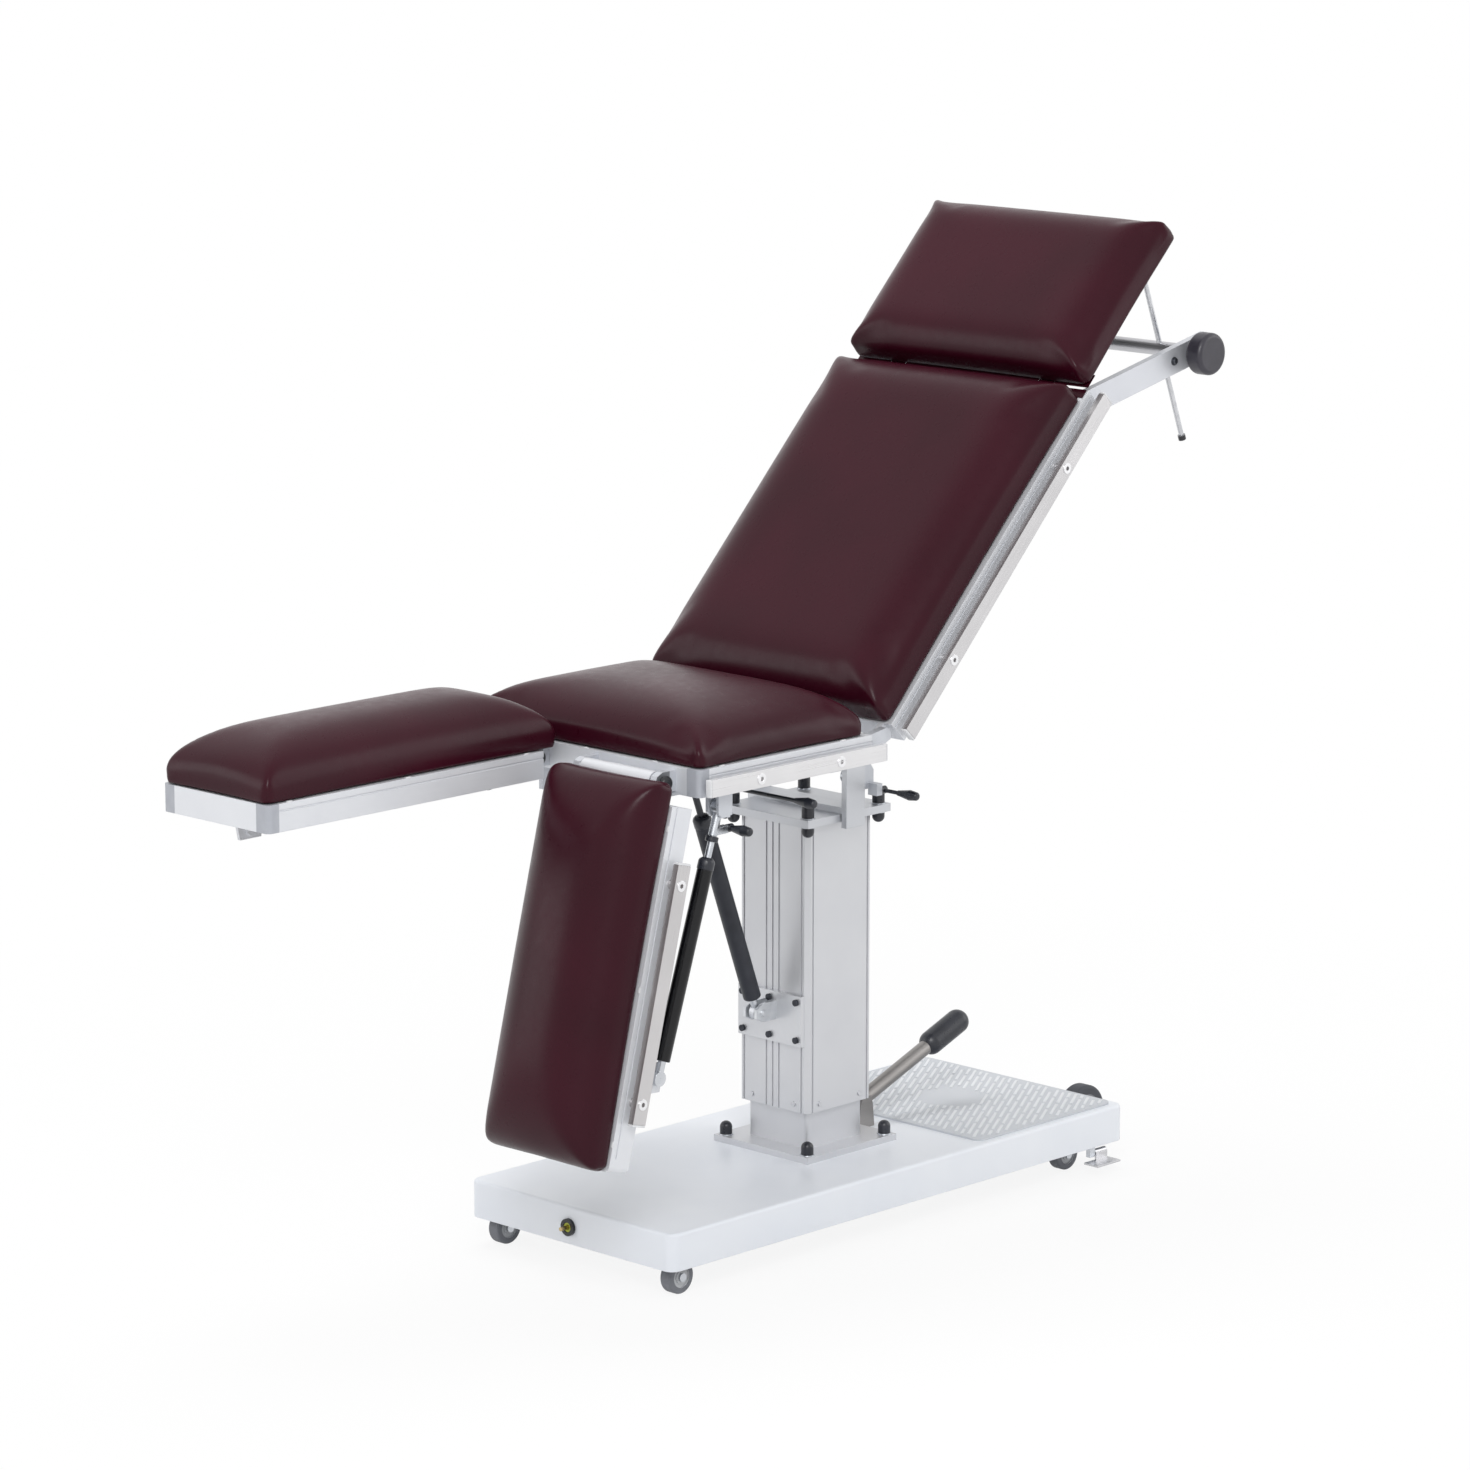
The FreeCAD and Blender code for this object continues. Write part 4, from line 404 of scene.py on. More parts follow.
COLUMN_LIGHT, COLUMN_DARK = shade(211, 212, 215), shade(204, 205, 209)
vinyl = vinyl_look()
white_paint = paint_look("white_powder_coat", shade(239, 242, 247), shade(232, 236, 243))
# The mat and its ribs are one rubber; the mat's ground is coloured darker than the ribs, painted shade
# between the ribs.
mat_rubber_painted_shade = paint_look("mat_rubber_painted_shade", shade(208, 211, 216), shade(199, 203, 208), (0.45, 0.6))
rib_rubber = paint_look("rib_rubber", shade(233, 235, 238), shade(225, 228, 232), (0.45, 0.6))
zinc = metal_look("zinc_plating", shade(206, 209, 214), shade(190, 194, 200), (0.24, 0.36), 60)
chrome = metal_look("chrome", shade(225, 226, 230), shade(212, 214, 219), (0.06, 0.12))
dark_steel = metal_look("dark_steel", shade(96, 98, 104), shade(74, 76, 82), (0.3, 0.42))
pump_steel = brushed_look("pump_steel", LEVEL, shade(160, 157, 155), shade(140, 137, 135), (0.3, 0.4), 0.85)
satin_steel = brushed_look("satin_steel", BACK, shade(204, 204, 207), shade(190, 190, 194), (0.3, 0.4), 0.85,
                           (1, 60, 1))
pedal_steel = brushed_look("pedal_steel", LEVEL, shade(214, 214, 216), shade(190, 190, 193), (0.22, 0.34),
                           0.9)
black_plastic = plastic_look("black_plastic", shade(44, 46, 54), shade(32, 34, 41), (0.26, 0.38))
knob_plastic = plastic_look("knob_plastic", shade(58, 56, 65), shade(48, 46, 54), (0.3, 0.42))
black_matt = plastic_look("black_matt_paint", shade(52, 54, 62), shade(42, 44, 51), (0.42, 0.55))
board = plastic_look("black_board", shade(38, 38, 41), shade(28, 28, 31), (0.5, 0.65))
nylon = plastic_look("white_nylon", shade(228, 229, 231), shade(218, 219, 222), (0.35, 0.5))
earth_ring = plastic_look("yellow_green_ring", shade(186, 190, 62), shade(164, 172, 52), (0.4, 0.5))
cover_cloth = cover_look()
column = brushed_look("anodised_column", LEVEL, COLUMN_LIGHT, COLUMN_DARK, (0.34, 0.44), 0.6, (1, 1, 60))
plates = brushed_look("milled_plates", LEVEL, shade(208, 210, 214), shade(198, 200, 205), (0.32, 0.42), 0.6,
                      (1, 40, 1))
arms = brushed_look("arm_profile", BACK, shade(212, 214, 219), shade(202, 204, 210), (0.34, 0.44), 0.5)

dress(white_paint, "base_pan")
dress(mat_rubber_painted_shade, "tread_mat")
dress(zinc, "base_beams", "fixed_forks", "rear_fork_near", "rear_fork_far")
dress(zinc, "near_leg_spring_rod", "far_leg_spring_rod", "back_spring_rod")
dress(black_matt, "tilt_spring_rod", "lift_cylinder")
for spring in ("tilt", "back"):
    dress(spring_look(spring, shade(50, 52, 60), shade(40, 42, 49), (0.4, 0.52)), f"{spring}_spring_tube")
for spring in ("near_leg", "far_leg"):
    dress(spring_look(spring, shade(20, 20, 23), shade(14, 14, 16), (0.07, 0.13)), f"{spring}_spring_tube")
dress(screw_look(), "column_screws")
dress(column, "column_inner", "column_outer")
dress(plates, "top_plate", "yoke")
dress(clevis_look(), "tilt_clevis_plate")
dress(bracket_look(), "seat_brackets")
dress(frame_look("seat_profile", LEVEL, -452 * MM, 0.0, 240 * MM), "seat_frame")
dress(frame_look("near_leg_profile", LEG_DOWN, -1030 * MM, -128.75 * MM, 111.25 * MM), "leg_frame_near")
dress(frame_look("far_leg_profile", LEVEL, -1030 * MM, 128.75 * MM, 111.25 * MM), "leg_frame_far")
dress(brushed_look("back_profile", BACK, PROFILE_LIGHT, PROFILE_DARK, (0.34, 0.44), 0.25), "back_frame")
dress(arms, "head_arms")
# The rails are one brushed steel in three copies that differ only in brightness: lightest on the level rails,
# darker on the sloping back rails and darkest on the dropped near leg rail. The difference is painted light
# and shade for how each rail faces the lamps.
level_rail = rail_look("level_rail", LEVEL, shade(226, 225, 226), shade(210, 209, 210))
dress(level_rail, "seat_rails", "leg_rail_far")
dress(rail_look("back_rail", BACK, shade(202, 200, 201), shade(186, 184, 185)), "back_rails")
dress(rail_look("dropped_rail_painted_shade", LEG_DOWN, shade(196, 193, 193), shade(180, 177, 177)), "leg_rail_near")
dress(pump_steel, "pump_lever", "pump_bracket")
dress(pedal_steel, "brake_pedal_near", "brake_pedal_far")
dress(chrome, "lift_ram")
dress(satin_steel, "head_cross_bar")
dress(prop_look(), "head_props")
dress(black_plastic, "foot_cap_nuts", "top_cap_nuts", "pump_grip")
dress(black_plastic, "near_leg_lever", "far_leg_lever", "tilt_lever", "back_lever")
dress(knob_plastic, "head_knob")
dress(board, "head_board")
dress(bonding_look(), "bonding_pin")
WHEEL_RIM, ROLLER_RIM = 15.5 * MM, 29.5 * MM
for wheel in ("front_wheel_near", "front_wheel_far", "rear_wheel_near", "rear_wheel_far"):
    dress(wheel_look(f"{wheel}_rubber", wheel, WHEEL_RIM, shade(112, 114, 120), shade(198, 200, 203)), wheel)
dark_rubber, pale_hub = shade(60, 62, 68), shade(150, 152, 157)
dress(wheel_look("head_roller_rubber", "head_roller", ROLLER_RIM, dark_rubber, pale_hub), "head_roller")


# Meshes of the added pieces

def add_piece(name, data, material, body):
    data.materials.append(material)
    thing = bpy.data.objects.new(name, data)
    bpy.context.scene.collection.objects.link(thing)
    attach(thing, body)
    return thing


class Shape:
    """A mesh built in millimetres with its section lying flat, then set in its place at rest."""

    def __init__(self):
        self.mesh = bmesh.new()

    def bar(self, centre, size, edge=0.6, turn=0.0):
        """A block with eased edges, turned about the upright through its centre."""
        made = bmesh.ops.create_cube(self.mesh, size=1.0)["verts"]
        moved = Matrix.Translation(centre) @ Matrix.Rotation(turn, 4, "Z") @ Matrix.Diagonal((*size, 1.0))
        bmesh.ops.transform(self.mesh, matrix=moved, verts=made)
        edges = list({edge for vertex in made for edge in vertex.link_edges})
        bmesh.ops.bevel(self.mesh, geom=edges, offset=edge, segments=2, profile=0.5, affect="EDGES")

    def lathe(self, profile, start, direction, sides=36):
        """A turned part from pairs of distance along a line and radius; a radius of 0 closes an end."""
        toward = Vector(direction).normalized()
        aside = toward.orthogonal().normalized()
        other = toward.cross(aside)
        rings = []
        for distance, radius in profile:
            centre = Vector(start) + toward * distance
            turns = [2 * math.pi * side / sides for side in range(sides)] if radius else [0.0]
            spots = [centre + (aside * math.cos(turn) + other * math.sin(turn)) * radius for turn in turns]
            rings.append([self.mesh.verts.new(spot) for spot in spots])
        for first, second in zip(rings, rings[1:]):
            for side in range(sides):
                after = (side + 1) % sides
                corners = [first[side % len(first)], first[after % len(first)], second[after % len(second)],
                           second[side % len(second)]]
                self.mesh.faces.new(list(dict.fromkeys(corners)))

    def piece(self, name, material, body, slot, place=LEVEL, sharp=38.0):
        bmesh.ops.recalc_face_normals(self.mesh, faces=self.mesh.faces)
        bmesh.ops.transform(self.mesh, matrix=placing(place) @ Matrix.Scale(MM, 4), verts=self.mesh.verts)
        data = bpy.data.meshes.new(name)
        self.mesh.to_mesh(data)
        self.mesh.free()
        data.shade_smooth()
        data.set_sharp_from_angle(angle=math.radians(sharp))
        return add_piece(name, data, material, body)


PAD_BASE = 780.0
RAIL_Y, RAIL_Z = 255.0, 755.5


def inside(spot, low, high, margin):
    return low.x + margin < spot.x < high.x - margin and low.y + margin < spot.y < high.y - margin


def tread_ribs():
    """Broken diagonal ribs on the tread mat, left off round its plain middle."""
    low, high = (Vector(corner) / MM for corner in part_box("tread_mat"))
    middle = (low + high) / 2
    pitch, width, length, gap, height, sunk, edge = 10.5, 5.0, 60.0, 9.0, 1.4, 0.2, 0.65
    margin, bare = 7.0, 54.0
    lines, segments, parts, fewest = 26, 5, 12, 3
    slant = math.radians(32)
    run = Vector((math.cos(slant), math.sin(slant), 0))
    step = Vector((-math.sin(slant), math.cos(slant), 0))
    ribs = Shape()
    for line in range(-lines, lines + 1):
        aside = step * line * pitch
        for segment in range(-segments, segments + 1):
            start = segment * (length + gap) + (line % 2) * (length + gap) / 2
            places = [start + part * length / parts for part in range(parts + 1)]
            kept = [place for place in places if inside(middle + aside + run * place, low, high, margin)]
            kept = [place for place in kept if (aside + run * place).length > bare]
            if len(kept) > fewest:
                centre = middle + aside + run * (kept[0] + kept[-1]) / 2
                centre.z = high.z + height / 2 - sunk
                ribs.bar(centre, (kept[-1] - kept[0], width, height), edge, slant)
    ribs.piece("tread_ribs", rib_rubber, "base", "mat")


def cap_washers():
    """A bright washer under each cap nut, on the foot plate and on both faces of the top plate."""
    ring = [(0.0, 9.55), (0.0, 11.2), (1.2, 11.2), (1.6, 10.8), (1.6, 9.55), (0.0, 9.55)]
    foot_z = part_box("foot_cap_nuts")[0][2] / MM
    low, high = (corner[2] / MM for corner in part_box("top_plate"))
    for name, body, spread, faces in (("foot_washers", "base", 85.0, ((foot_z, 1),)),
                                      ("top_washers", "lift", 77.0, ((low, -1), (high, 1)))):
        washers = Shape()
        for x in (-spread, spread):
            for y in (-spread, spread):
                for z, up in faces:
                    washers.lathe(ring, (x, y, z), (0, 0, up))
        washers.piece(name, zinc, body, "zinc")


def bonding_insert():
    """The yellow-green ring between the black ring and the brass pin."""
    centre, pan_end = middle_of("bonding_pin") / MM, -500.0
    ring = Shape()
    profile = [(0.0, 3.15), (0.0, 7.4), (3.4, 7.4), (4.0, 6.9), (4.0, 4.6), (2.6, 3.15), (0.0, 3.15)]
    ring.lathe(profile, (pan_end, centre.y, centre.z), (-1, 0, 0))
    ring.piece("bonding_insert", earth_ring, "base", "brass")


def spring_glands():
    """A rounded gland cap on the mouth of each gas spring's tube."""
    near_mouth, wall = 30.0, 0.7
    for name in SPRINGS:
        origin, toward = spring_line(name)
        points = flat_points(f"{name}_spring_tube", LEVEL) - np.array(origin)
        reach = points @ np.array(toward)
        mouth = reach.min() / MM
        barrel = points[reach < (mouth + near_mouth) * MM]
        radius = np.linalg.norm(np.cross(barrel, np.array(toward)), axis=1).max() / MM
        outer = radius + wall
        profile = [(-4.0, 5.2), (-4.0, 7.0), (-2.6, outer - 3.2), (-0.6, outer - 1.0), (2.0, outer),
                   (13.0, outer), (13.8, outer - 0.5), (13.8, radius - 0.2)]
        gland = Shape()
        gland.lathe(profile, origin / MM + toward * mouth, toward)
        gland.piece(f"{name}_gland", black_plastic, f"{name}_tube", "black_plastic")


def spring_fittings():
    """On each leg's spring head: a black stop ring on the rod and a bolt with washer and nut across it."""
    bolt_place, bolt_lean, bolt_sides = 14.0, (-0.314, 0.949), 6
    for name in SPRINGS[:2]:
        origin, toward = spring_line(name)
        side = Vector((-toward.z, 0.0, toward.x))
        ring = Shape()
        profile = [(43.0, 5.1), (43.0, 8.6), (44.0, 9.4), (50.0, 9.4), (51.0, 8.6), (51.0, 5.1)]
        ring.lathe(profile, origin / MM, toward)
        ring.piece(f"{name}_stop_ring", black_plastic, f"{name}_rod", "black_plastic")
        bolt = Shape()
        profile = [(6.0, 0.0), (6.0, 3.4), (16.0, 3.4), (16.0, 6.9), (17.6, 6.9), (17.6, 6.0),
                   (22.6, 6.0), (23.4, 5.2), (23.4, 3.0), (29.0, 3.0), (29.8, 2.2), (29.8, 0.0)]
        across = bolt_lean[0] * toward + bolt_lean[1] * side
        bolt.lathe(profile, origin / MM + toward * bolt_place, across, bolt_sides)
        bolt.piece(f"{name}_head_bolt", zinc, f"{name}_rod", "zinc", sharp=20.0)


def arm_bolts():
    """A dark bolt head on the outer face of each headrest arm, beside the cross bar."""
    bolts = Shape()
    x, arm_face, z = 717.3, 235.0, 649.6
    profile = [(0.0, 6.5), (1.2, 6.5), (1.2, 5.0), (4.0, 5.0), (4.6, 4.2), (4.6, 2.4), (2.6, 2.2), (2.6, 0.0)]
    for side in (-1, 1):
        bolts.lathe(profile, (x, side * arm_face, z), (0, side, 0))
    bolts.piece("arm_bolts", dark_steel, "back", "zinc", BACK)


def rail_caps():
    """White end caps on the side rails."""
    size, edge, frame_side = (3.2, 10.6, 25.6), 1.3, 250
    for node, body, place in (("seat_rails", "top", LEVEL), ("back_rails", "back", BACK),
                              ("leg_rail_near", "leg_near", LEG_DOWN), ("leg_rail_far", "leg_far", LEVEL)):
        points = flat_points(node, place) / MM
        caps = Shape()
        for side in (side for side in (-1, 1) if (points[:, 1] * side > frame_side).any()):
            for end, outward in ((points[:, 0].min(), -1), (points[:, 0].max(), 1)):
                caps.bar((end + outward * size[0] / 2, side * RAIL_Y, RAIL_Z), size, edge)
        caps.piece(f"{node}_caps", nylon, body, "rail_steel", place)


def cushion_glides():
    """Small white glides that show between a cushion's edge and its frame."""
    seat, legs = Shape(), {"near": Shape(), "far": Shape()}
    z, edge, lengthways, crossways = PAD_BASE + 0.2, 0.7, (9.0, 4.0, 2.6), (4.0, 9.0, 2.6)
    outer_side, inner_side, seat_front = 238.6, 19.2, -470.8
    for x in (-425.0, -175.0):
        for side in (-1, 1):
            seat.bar((x, side * outer_side, z), lengthways, edge)
    for y in (-150.0, -10.0, 150.0):
        seat.bar((seat_front, y, z), crossways, edge)
    for name, side in (("near", -1), ("far", 1)):
        for x in (-560.0, -790.0, -1010.0):
            for y in (inner_side, outer_side):
                legs[name].bar((x, side * y, z), lengthways, edge)
    seat.piece("seat_glides", nylon, "top", "board")
    legs["near"].piece("near_leg_glides", nylon, "leg_near", "board", LEG_DOWN)
    legs["far"].piece("far_leg_glides", nylon, "leg_far", "board")


def painted_shade_flaps():
    """Vinyl laps at the head hinge: over the back's top bar and lugs, and under the headrest's lower edge.
    They are dark pieces put in the gap between the back and head cushions so that it shows as a dark line: a
    painted shadow.
    """
    over, under = Shape(), Shape()
    bar_x, lug_x, lug_y, headrest_x = 550.0, 562.25, 152.0, 575.0
    # Both laps are dark vinyl standing in for the shade in the gap between the cushions: painted shadow.
    over.bar((bar_x, 0.0, PAD_BASE + 0.7), (15.0, 474.0, 1.8), 0.6)
    for y in (-lug_y, lug_y):
        over.bar((lug_x, y, PAD_BASE - 0.7), (11.5, 30.0, 1.4), 0.5)
    over.piece("back_flap_painted_shade", vinyl, "back", "vinyl", BACK)
    for low, high in ((-235.0, -168.0), (-136.0, 136.0), (168.0, 235.0)):
        under.bar((headrest_x, (low + high) / 2, PAD_BASE - 0.7), (24.0, high - low, 1.6), 0.6)
    under.piece("head_flap_painted_shade", vinyl, "headrest", "vinyl", BACK)


def cushion_covers():
    """Under each framed cushion: a black cover cloth between the frame's bars, held by staples."""
    pitch, inset, cloth_z, staple_z = 36, 6, PAD_BASE - 0.7, PAD_BASE - 1.5
    lengthways, crossways, edge = (10, 1.2, 0.8), (1.2, 10, 0.8), 0.25
    bays = {"seat": ("top", LEVEL, [(-441, -145, -209, 209)]),
            "back": ("back", BACK, [(-34, 332, -209, 209), (368, 526, -209, 209)]),
            "near_leg": ("leg_near", LEG_DOWN, [(-1019, -559, -209, -48)]),
            "far_leg": ("leg_far", LEVEL, [(-1019, -559, 48, 209)])}
    for name, (body, place, panels) in bays.items():
        cover, staples = Shape(), Shape()
        for x0, x1, y0, y1 in panels:
            cover.bar(((x0 + x1) / 2, (y0 + y1) / 2, cloth_z), (x1 - x0, y1 - y0, 1.2), 0.5)
            columns, rows = max(2, round((x1 - x0) / pitch)), max(2, round((y1 - y0) / pitch))
            for column in range(columns):
                x = x0 + (column + 0.5) * (x1 - x0) / columns
                for y in (y0 + inset, y1 - inset):
                    staples.bar((x, y, staple_z), lengthways, edge)
            for row in range(rows):
                y = y0 + (row + 0.5) * (y1 - y0) / rows
                for x in (x0 + inset, x1 - inset):
                    staples.bar((x, y, staple_z), crossways, edge)
        cover.piece(f"{name}_cover", cover_cloth, body, "board", place)
        staples.piece(f"{name}_staples", zinc, body, "zinc", place)


tread_ribs()
cap_washers()
bonding_insert()
spring_glands()
spring_fittings()
arm_bolts()
rail_caps()
cushion_glides()
painted_shade_flaps()
cushion_covers()


# Cushions

EDGE_STEPS = np.array([0.0, 0.8, 2.5, 6.0, 11.0, 18.0, 27.0]) * MM
SPACING = 15 * MM
CORNER = 15 * MM
DRAWN_IN_ENDS, DRAWN_IN_SIDES = 1 * MM, 3 * MM
SWELL = 4 * MM
CROWN_ROOM = 2 * MM
FRAMES = 20
TINY = 1e-9

# Rings down a pad's sides: the share of the wall's height, and how far out the ring lies in millimetres
SIDE_RINGS = ((0.8, 0.5), (0.55, 0.7), (0.3, 0.2), (0.1, -1.4), (0.0, -4.0))


def lattice(length):
    """Places along one side of a pad: close together over the shoulders, then evenly apart."""
    count = round((length - 2 * EDGE_STEPS[-1]) / SPACING)
    between = np.linspace(EDGE_STEPS[-1], length - EDGE_STEPS[-1], count + 1)[1:-1]
    return np.concatenate((EDGE_STEPS, between, length - EDGE_STEPS[::-1]))


def bow(share):
    """A quarter of a circle: 0 at an edge, 1 from the full share on."""
    return np.sqrt(1 - (1 - np.minimum(share, 1)) ** 2)


def softer_minimum(first, second, blend=0.12):
    near = np.maximum(blend - np.abs(first - second), 0) / blend
    return np.minimum(first, second) - near ** 2 * blend / 4


def pad_top(a, b, half_a, half_b, wall, corner_wall, reach, crown):
    """The height of a pad's top, a and b from its nearest ends and sides: a low wall that dips at the corners
    and a pillow above it, whose slopes meet in soft creases towards the corners."""
    inward_a = 1 - (1 - np.minimum(a / half_a, 1)) ** 2
    inward_b = 1 - (1 - np.minimum(b / half_b, 1)) ** 2
    inward = (inward_a * a + inward_b * b) / np.maximum(a + b, TINY)
    edge = corner_wall + (wall - corner_wall) * inward
    return edge + (crown - edge) * softer_minimum(bow(a / reach[0]), bow(b / reach[1]))


def pad_mesh(name, low, high, wall, corner_wall, reach):
    """A closed pad in flat coordinates: a lattice over the top, rings down the sides and one face below."""
    size = high - low
    xs, ys = lattice(size[0]), lattice(size[1])
    x, y = np.meshgrid(xs, ys, indexing="ij")
    a, b = np.minimum(x, size[0] - x), np.minimum(y, size[1] - y)
    top = pad_top(a, b, size[0] / 2, size[1] / 2, wall, corner_wall, reach, size[2] - CROWN_ROOM)
    in_corner = (a < CORNER) & (b < CORNER)
    p, q = 1 - a / CORNER, 1 - b / CORNER
    round_a = np.where(in_corner, CORNER * (1 - p * np.sqrt(np.maximum(1 - q * q / 2, 0))), a)
    round_b = np.where(in_corner, CORNER * (1 - q * np.sqrt(np.maximum(1 - p * p / 2, 0))), b)
    side_x, side_y = np.sign(x - size[0] / 2), np.sign(y - size[1] / 2)
    out_x = side_x * np.maximum(1 - round_a / CORNER, 0)
    out_y = side_y * np.maximum(1 - round_b / CORNER, 0)
    drawn_x = DRAWN_IN_ENDS * np.sin(np.pi * y / size[1]) / (size[0] / 2)
    drawn_y = DRAWN_IN_SIDES * np.sin(np.pi * x / size[0]) / (size[1] / 2)
    px = side_x * (size[0] / 2 - round_a) * (1 - drawn_x)
    py = side_y * (size[1] / 2 - round_b) * (1 - drawn_y)
    centre = (low + high) / 2
    points = [np.stack((px + centre[0], py + centre[1], top + low[2]), -1).reshape(-1, 3)]
    rows, columns = len(xs), len(ys)
    number = np.arange(rows * columns).reshape(rows, columns)
    rim = np.concatenate((number[:-1, 0], number[-1, :-1], number[:0:-1, -1], number[0, :0:-1]))
    faces = [(number[i, j], number[i + 1, j], number[i + 1, j + 1], number[i, j + 1])
             for i in range(rows - 1) for j in range(columns - 1)]
    outward = np.stack((out_x, out_y, np.zeros_like(out_x)), -1).reshape(-1, 3)[rim]
    above, ring = points[0][rim], rim
    for share, bulge in SIDE_RINGS:
        spots = above + outward * bulge * MM
        spots[:, 2] = low[2] + (above[:, 2] - low[2]) * share
        start = sum(len(part) for part in points)
        points.append(spots)
        below = np.arange(start, start + len(rim))
        for i in range(len(rim)):
            j = (i + 1) % len(rim)
            faces.append((ring[j], ring[i], below[i], below[j]))
        ring = below
    faces.append(tuple(ring[::-1]))
    data = bpy.data.meshes.new(name)
    data.from_pydata(np.concatenate(points).tolist(), [], [tuple(int(v) for v in face) for face in faces])
    return data, [int(v) for v in ring]


def swell(pads):
    """Blows the pads up as cloth with their undersides held, and keeps each point near where it was."""
    for pad in pads:
        cloth = pad.modifiers.new("cloth", "CLOTH")
        cloth.settings.quality = 4
        cloth.settings.tension_stiffness = 20
        cloth.settings.compression_stiffness = 20
        cloth.settings.bending_stiffness = 2
        cloth.settings.use_pressure = True
        cloth.settings.uniform_pressure_force = 4
        cloth.settings.effector_weights.gravity = 0
        cloth.settings.vertex_group_mass = "held"
        cloth.point_cache.frame_end = FRAMES
    for number in range(1, FRAMES + 1):
        bpy.context.scene.frame_set(number)
    graph = bpy.context.evaluated_depsgraph_get()
    for pad in pads:
        count = len(pad.data.vertices)
        start, full = np.empty(count * 3), np.empty(count * 3)
        pad.data.vertices.foreach_get("co", start)
        pad.evaluated_get(graph).data.vertices.foreach_get("co", full)
        move = (full - start).reshape(-1, 3)
        far = np.linalg.norm(move, axis=1, keepdims=True)
        move *= SWELL * np.tanh(far / SWELL) / np.maximum(far, TINY)
        pad.data.vertices.foreach_set("co", start + move.ravel())
        pad.modifiers.remove(pad.modifiers["cloth"])
    bpy.context.scene.frame_set(1)


def cushions():
    """Every cushion: its pad, swollen while it lies flat, then set in place of the node that it replaces."""
    made = []
    for node, body, place, wall, corner_wall, reach in (
            ("seat_cushion", "top", LEVEL, 20, 9, (150, 210)),
            ("back_cushion", "back", BACK, 31, 25, (95, 95)),
            ("head_cushion", "headrest", BACK, 26, 23, (70, 75)),
            ("leg_cushion_near", "leg_near", LEG_DOWN, 22, 10, (150, 105)),
            ("leg_cushion_far", "leg_far", LEVEL, 22, 10, (150, 105))):
        points = flat_points(node, place)
        low, high = points.min(0), points.max(0)
        name = f"{node}_vinyl"
        data, held = pad_mesh(name, low, high, wall * MM, corner_wall * MM, np.array(reach) * MM)
        pad = bpy.data.objects.new(name, data)
        bpy.context.scene.collection.objects.link(pad)
        pad.vertex_groups.new(name="held").add(held, 1.0, "REPLACE")
        made.append((pad, node, body, place))
    swell([pad for pad, _, _, _ in made])
    for pad, node, body, place in made:
        pad.data.transform(placing(place))
        pad.data.materials.append(vinyl)
        pad.data.shade_smooth()
        smooth = pad.modifiers.new("smooth", "SUBSURF")
        smooth.levels = smooth.render_levels = 1
        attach(pad, body)
        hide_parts(node)


cushions()


# Stage: floor, soft lights, white surroundings and the camera

def seen_rays(tree):
    """1 for the rays that see the surroundings directly, mirrored or through glass, and 0 for the rest."""
    path = tree.nodes.new("ShaderNodeLightPath")
    total = path.outputs["Is Camera Ray"]
    for name in ("Is Glossy Ray", "Is Transmission Ray"):
        added = tree.nodes.new("ShaderNodeMath")
        added.operation = "MAXIMUM"
        tree.links.new(total, added.inputs[0])
        tree.links.new(path.outputs[name], added.inputs[1])
        total = added.outputs[0]
    return total


def floor():
    """A pale floor that keeps a faint shadow near the object and fades to white away from it."""
    mesh = bpy.data.meshes.new("floor")
    half = 30.0
    corners = [(-half, -half, 0), (half, -half, 0), (half, half, 0), (-half, half, 0)]
    mesh.from_pydata(corners, [], [(0, 1, 2, 3)])
    thing = bpy.data.objects.new("floor", mesh)
    bpy.context.scene.collection.objects.link(thing)
    look = Look("pale_floor", Specular_IOR_Level=0.1, Roughness=0.9)
    look.shader.inputs["Base Color"].default_value = (0.9, 0.9, 0.9, 1)
    away = look.vector("LENGTH", look.spot).outputs["Value"]
    white_near, white_far, fade_start, fade_end = 0.88, 1.0, 0.7, 2.2
    fade = look.spread(away, white_near, white_far, fade_start, fade_end)
    share = look.maths("MULTIPLY", seen_rays(look.tree), fade)
    glow = look.node("ShaderNodeEmission")
    both = look.node("ShaderNodeMixShader")
    for socket, value in zip(both.inputs, (share, look.shader.outputs[0], glow.outputs[0])):
        look.feed(socket, value)
    look.feed(look.tree.nodes["Material Output"].inputs["Surface"], both.outputs[0])
    mesh.materials.append(look.material)


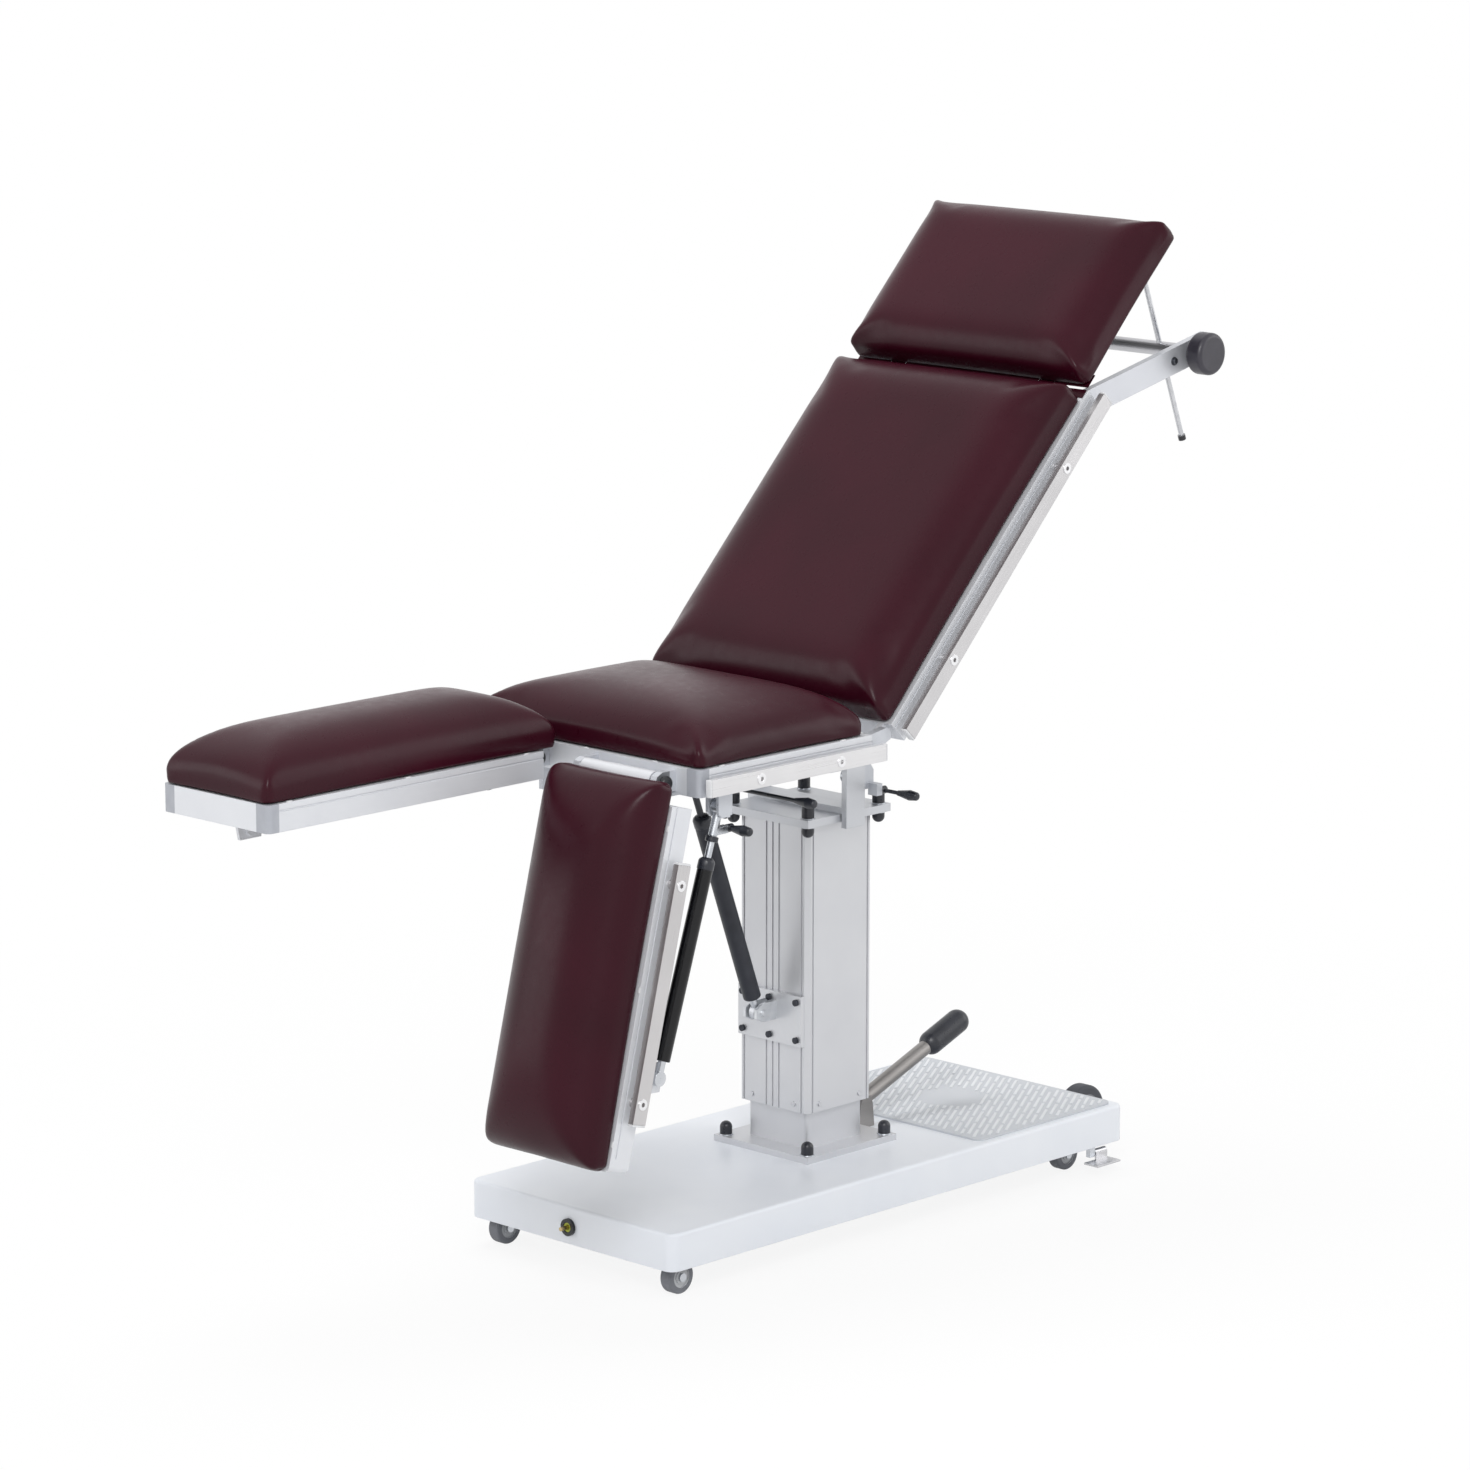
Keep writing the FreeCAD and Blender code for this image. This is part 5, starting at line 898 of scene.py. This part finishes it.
def surroundings():
    """White for the rays that see it, and a softer even light for the rest."""
    world = bpy.data.worlds.new("studio")
    bpy.context.scene.world = world
    world.use_nodes = True
    tree = world.node_tree
    background = tree.nodes["Background"]
    background.inputs["Color"].default_value = (1, 1, 1, 1)
    strength = tree.nodes.new("ShaderNodeMapRange")
    strength.inputs["To Min"].default_value = 0.46
    strength.inputs["To Max"].default_value = 1.0
    tree.links.new(seen_rays(tree), strength.inputs["Value"])
    tree.links.new(strength.outputs["Result"], background.inputs["Strength"])


def softbox(name, place, target, size, watts, mirrored=True):
    """A rectangular lamp; one that isn't mirrored lights matt surfaces and shows in no gloss."""
    lamp = bpy.data.lights.new(name, "AREA")
    lamp.shape = "RECTANGLE"
    lamp.size, lamp.size_y = size
    lamp.energy = watts
    thing = bpy.data.objects.new(name, lamp)
    bpy.context.scene.collection.objects.link(thing)
    thing.location = place
    thing.rotation_euler = (Vector(target) - Vector(place)).to_track_quat("-Z", "Y").to_euler()
    thing.visible_glossy = mirrored


def camera():
    """The photograph's view, from the foot end's near side and a little above."""
    azimuth, elevation = math.radians(-45.82), math.radians(11.426)
    distance = 8.15
    target = Vector((-0.153, 0.0, 0.7517))
    data = bpy.data.cameras.new("photo_camera")
    data.sensor_width = 36.0
    data.lens = 135.0
    data.clip_end = 100.0
    thing = bpy.data.objects.new("photo_camera", data)
    bpy.context.scene.collection.objects.link(thing)
    level = math.cos(elevation)
    back = Vector((math.sin(azimuth) * level, -math.cos(azimuth) * level, math.sin(elevation)))
    thing.location = target + back * distance
    thing.rotation_euler = (-back).to_track_quat("-Z", "Y").to_euler()
    bpy.context.scene.camera = thing


floor()
surroundings()
middle = (0.0, 0.0, 0.7)
softbox("key_light", (-3.9, -3.6, 4.2), middle, (2.4, 2.4), 165)
softbox("side_light", (4.0, -3.2, 2.6), middle, (3.4, 3.4), 55)
softbox("end_light", (-4.2, 3.6, 1.9), middle, (2.4, 2.4), 30)
softbox("top_light", (0.3, 1.2, 4.6), middle, (3.2, 2.2), 100, mirrored=False)
camera()
bpy.context.scene.view_settings.view_transform = "Standard"
